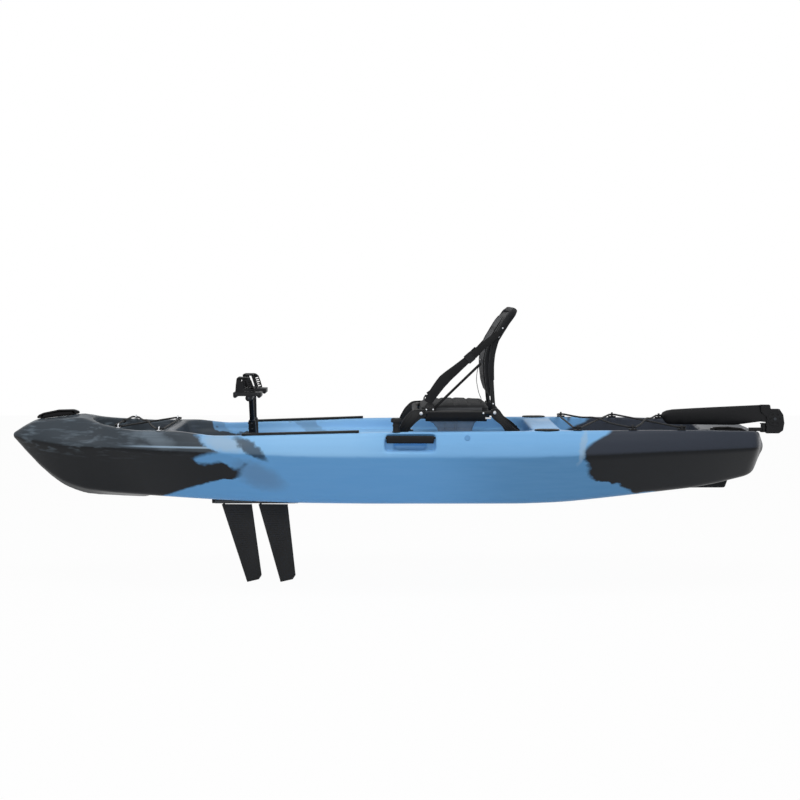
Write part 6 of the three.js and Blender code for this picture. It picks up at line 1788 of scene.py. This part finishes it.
# The stowed blade's outline from its pivot: shares of its length forward and of its chord upward
BLADE_SHARES = [(0, -0.22), (0.123, -0.136), (0.216, -0.205), (0.35, -0.305), (0.65, -0.285), (0.936, -0.26),
                (0.962, -0.17), (0.985, 0), (1, 0.182), (0.985, 0.32), (0.955, 0.405), (0.9, 0.46),
                (0.7, 0.525), (0.5, 0.58)]
BLADE_LENGTH = 487
BLADE_CHORD = 88
BLADE_NECK = 54
BLADE_HEAD = 28
BOSS_RADIUS = 33
# Half its section: how far in from the edge, and how thick there
BLADE_SECTION = [(0.0, 1.4), (0.05, 2.6), (0.16, 3.9), (0.34, 5.0), (0.6, 5.7), (0.86, 5.95)]


def rudder_blade():
    """The stowed blade: a smooth lens in section, sharp round its edge, with a round boss at its pivot."""
    x, _, z = middle_of("rudder_bolt")
    outline = [(x - a * BLADE_LENGTH, z + b * BLADE_CHORD) for a, b in BLADE_SHARES]
    neck, head = x - BLADE_NECK, z + BLADE_HEAD
    outline += [(neck, z + BLADE_CHORD * 0.68), (neck, head), (x, head)]
    bm = bmesh.new()
    ridge = z + BLADE_CHORD * 0.2
    middle = x - BLADE_LENGTH / 2
    rings = []
    for inset, y in [(s, -y) for s, y in BLADE_SECTION[::-1]] + BLADE_SECTION:
        rings.append([(middle + (u - middle) * (1 - inset * 0.09), y, ridge + (v - ridge) * (1 - inset))
                      for u, v in outline])
    ring_faces(bm, rings)
    rod(bm, (x, -6, z), (x, 6, z), BOSS_RADIUS, 40, edge=1)
    block(bm, neck, x, -5.6, 5.6, z - 12, head)
    stand_in("rudder_blade_foil", bm, BLADE, "rudder_blade", angle=40)


rudder()


# Shock cords

FITTING_INSET = 19
CORD = Sizes(radius=4, bow_thread=7.6, stern_thread=11.5, turn=16, hump=11, sides=12, step=5)
BOW_KNOT = 9.5
STERN_KNOT = 6.6


def on_rim(x, side, along, inboard, up):
    """A point in the frame of a fitting on the rim, which slopes with the gunwale."""
    y = np.interp(x, frames[:, 0], frames[:, 8]) - FITTING_INSET
    ahead = np.interp([x - 20, x + 20], frames[:, 0], frames[:, 9])
    slope = atan2(ahead[1] - ahead[0], 40)
    z = np.interp(x, frames[:, 0], frames[:, 9]) + 0.3
    c, s = cos(slope), sin(slope)
    return np.array((x + along * c - up * s, side * (y - inboard), z + along * s + up * c))


def turn_at(x, side, heading, thread):
    """The cord's turn through one eye, from the inboard side and back to it."""
    turn = []
    for angle in np.radians((-90, -45, 0, 45, 90)):
        along, inboard = sin(angle) * CORD.turn * heading, (1 - cos(angle)) * CORD.turn
        turn.append(on_rim(x, side, along, inboard, thread))
    return turn


def lace_through(turns, lifts):
    """Joins the turns by straight runs, each lifted in the middle by its share where it crosses another."""
    points = list(turns[0])
    for turn, lift in zip(turns[1:], lifts):
        start, end = points[-1], turn[0]
        for t in np.linspace(0, 1, 14)[1:-1]:
            over = np.array((0, 0, lift * exp(-((t - 0.5) / 0.16) ** 2)))
            points.append(start + (end - start) * t + over)
        points += turn
    return points


def overhand_knot(bm, centre, size, along):
    """A tight knot: one turn and a half of the cord round itself."""
    along = np.array(along, float)
    side = np.cross(along, (0, 0, 1))
    up = np.cross(side, along)
    path = []
    for t in np.linspace(0, 1, 40):
        turn = t * 3.1 * pi
        away = (size - CORD.radius) * sin(pi * (0.12 + 0.76 * t))
        path.append(np.array(centre) + along * (t - 0.5) * size * 2.1
                    + (side * cos(turn) + up * sin(turn)) * away)
    tube(bm, path, CORD.radius, CORD.sides)


def lay_cord(node, name, points, knots):
    """Makes a cord along its course, with its knots as centre, size and direction."""
    bm = bmesh.new()
    tube(bm, round_path(points, CORD.step), CORD.radius, CORD.sides)
    for centre, size, along in knots:
        overhand_knot(bm, centre, size, along)
    stand_in(name, bm, BRAID, node, angle=60)


def shock_cords():
    """Two shock cords laced through their eyes, with their knots."""
    front, rear = (middle_of(f"bow_eye_left_{k}")[0] for k in (1, 2))
    thread, hump = CORD.bow_thread, CORD.hump
    eyes = ((front, -1, 1), (rear, 1, 1), (rear, -1, -1), (front, 1, -1))
    turns = [turn_at(x, side, heading, thread) for x, side, heading in eyes]
    points = lace_through(turns, [0, 0, hump])
    first, last = points[0], points[-1]
    start, end = np.array((first[0], -20, first[2])), np.array((last[0], 20, last[2]))
    course = [start, (start + first) / 2, *points, (end + last) / 2, end]
    lay_cord("bow_bungee", "bow_cord", course, [((first[0], 0, first[2]), BOW_KNOT, (0, 1, 0))])

    front, middle, rear = (middle_of(f"pad_eye_left_{k}")[0] for k in (1, 2, 3))
    thread = CORD.stern_thread
    eyes = ((rear, -1, -1), (middle, 1, -1), (front, -1, -1), (front, 1, 1), (middle, -1, 1), (rear, 1, 1))
    turns = [turn_at(x, side, heading, thread) for x, side, heading in eyes]
    turns[0], turns[-1] = turns[0][1:], turns[-1][:4]
    points = lace_through(turns, [0, 0, 0, hump, hump])
    knots = [(at, STERN_KNOT, (1, 0, 0)) for at in (points[0], points[-1])]
    lay_cord("stern_bungee", "stern_cord", points, knots)


shock_cords()


# Steering control and side plug

def turned(bm, x, y, z, profile, sides=36, lobes=0, depth=0.0):
    """A turned piece on an upright axis, from (height over z, radius) pairs; lobes scallop its rim."""
    turns = [2 * pi * k / sides for k in range(sides)]
    dents = [depth * (0.5 - 0.5 * cos(lobes * turn)) for turn in turns]
    ring_faces(bm, [[(x + (radius - dent) * cos(turn), y + (radius - dent) * sin(turn), z + rise)
                     for turn, dent in zip(turns, dents)] for rise, radius in profile])


POST_PROFILE = [(0, 17), (3, 17), (4.5, 14.5), (22, 13.5), (24, 15.5), (30, 15.5), (32, 13.8), (39.8, 13.8)]
KNOB_PROFILE = [(0, 20.5), (2, 22.8), (9, 22.2), (14.5, 20.6), (17.4, 17), (18, 11)]
KNOB_HEIGHT = 18
# The lever in plan from the post's axis, and the heights of its two faces over the knob's foot
LEVER = [(-6, 0), (6, 0), (6, 41), (3.5, 46), (-3.5, 46), (-6, 41)]
LEVER_FACES = (6, 14)


def steering():
    """The steering post with its collar, and the scalloped knob with its lever."""
    x, y, _ = middle_of("steering_post")
    bm = bmesh.new()
    turned(bm, x, y, box_of("steering_post")[0][2], POST_PROFILE)
    bevel_edges(bm, 0.6, 2, angle=40)
    stand_in("steering_column", bm, NYLON, "steering_post")
    top = box_of("steering_lever")[1][2]
    z = top - KNOB_HEIGHT
    bm = bmesh.new()
    turned(bm, x, y, z, KNOB_PROFILE, sides=96, lobes=12, depth=1.6)
    plate(bm, [(x + u, y + v) for u, v in LEVER], *(z + face for face in LEVER_FACES), flat_lying)
    bevel_edges(bm, 1.6, 3, angle=50)
    stand_in("steering_knob", bm, NYLON, "steering_lever")
    bm = bmesh.new()
    screw(bm, (x, y, top - 0.3), (0, 0, 1), 5.5, 1.4)
    steel("steering_screw", bm, "steering_lever")


steering()
softened("side_plug", NYLON_BLUE, 1.0, 3)


# Camera, light and floor

CAMERA_AT = (0.049, -7.0, 0.913)
CAMERA_DIP = 4.05
CAMERA_LENS = 73.7
SENSOR_WIDTH = 36
FLOOR_REACH = 9000
FLOOR_GAP = 2
FLOOR_DEPTH = 4
FLOOR_GLOW = 0.965
WORLD_LIGHT = 0.32
# Each softbox: place, target, size and watts
SOFTBOXES = {
    "overhead": ((0.2, -1.4, 3.4), (0, 0, 0.2), (4.6, 1.6), 80),
    "front_fill": ((-0.6, -5.2, 1.6), (0, 0, 0.2), (4.0, 2.0), 42),
}
WHITE = (1, 1, 1, 1)


def seen_directly(add):
    """1 where the camera sees the backdrop, straight, in a reflection or through glass, and 0 where it only
    lights."""
    rays = add("LightPath").outputs
    kinds = [rays[f"Is {kind} Ray"] for kind in ("Camera", "Glossy", "Transmission")]
    return reduce(lambda a, b: add("Math", [(0, a), (1, b)], operation="MAXIMUM"), kinds)


def studio():
    scene = bpy.context.scene
    camera = bpy.data.objects.new("camera", bpy.data.cameras.new("camera"))
    scene.collection.objects.link(camera)
    camera.location = CAMERA_AT
    camera.rotation_euler = (radians(90 - CAMERA_DIP), 0, 0)
    camera.data.lens = CAMERA_LENS
    camera.data.sensor_width = SENSOR_WIDTH
    scene.camera = camera

    for name, (place, target, size, watts) in SOFTBOXES.items():
        lamp = bpy.data.lights.new(name, "AREA")
        lamp.shape, lamp.size, lamp.size_y, lamp.energy = "RECTANGLE", size[0], size[1], watts
        made = bpy.data.objects.new(name, lamp)
        scene.collection.objects.link(made)
        made.location = place
        made.rotation_euler = (Vector(target) - Vector(place)).to_track_quat("-Z", "Y").to_euler()

    world = bpy.data.worlds.new("studio")
    scene.world = world
    world.use_nodes = True
    world.node_tree.nodes.clear()
    add = partial(add_node, world.node_tree)
    seen = seen_directly(add)
    strength = add("MapRange", [("Value", seen), ("To Min", WORLD_LIGHT), ("To Max", 1.0)])
    sky = add("Background", [("Color", WHITE), ("Strength", strength)])
    add("OutputWorld", [("Surface", sky)])

    bm = bmesh.new()
    top = cad_box[0][2] / MM - FLOOR_GAP
    block(bm, -FLOOR_REACH, FLOOR_REACH, -FLOOR_REACH, FLOOR_REACH, top - FLOOR_DEPTH, top)
    floor = object_from("floor", bm)
    paint, add, surface, _ = new_material("floor_paint", Roughness=0.9, Base_Color=linear("#f4f4f4"))
    share = add("Math", [(0, seen_directly(add)), (1, FLOOR_GLOW)], operation="MULTIPLY")
    glow = add("Emission", [("Color", WHITE), ("Strength", 1.0)])
    mixed = add("MixShader", [(0, share), (1, surface), (2, glow)])
    feed(mixed, paint.node_tree.nodes["Material Output"].inputs["Surface"])
    floor.data.materials.append(paint)


studio()
bpy.context.scene.view_settings.view_transform = "Standard"
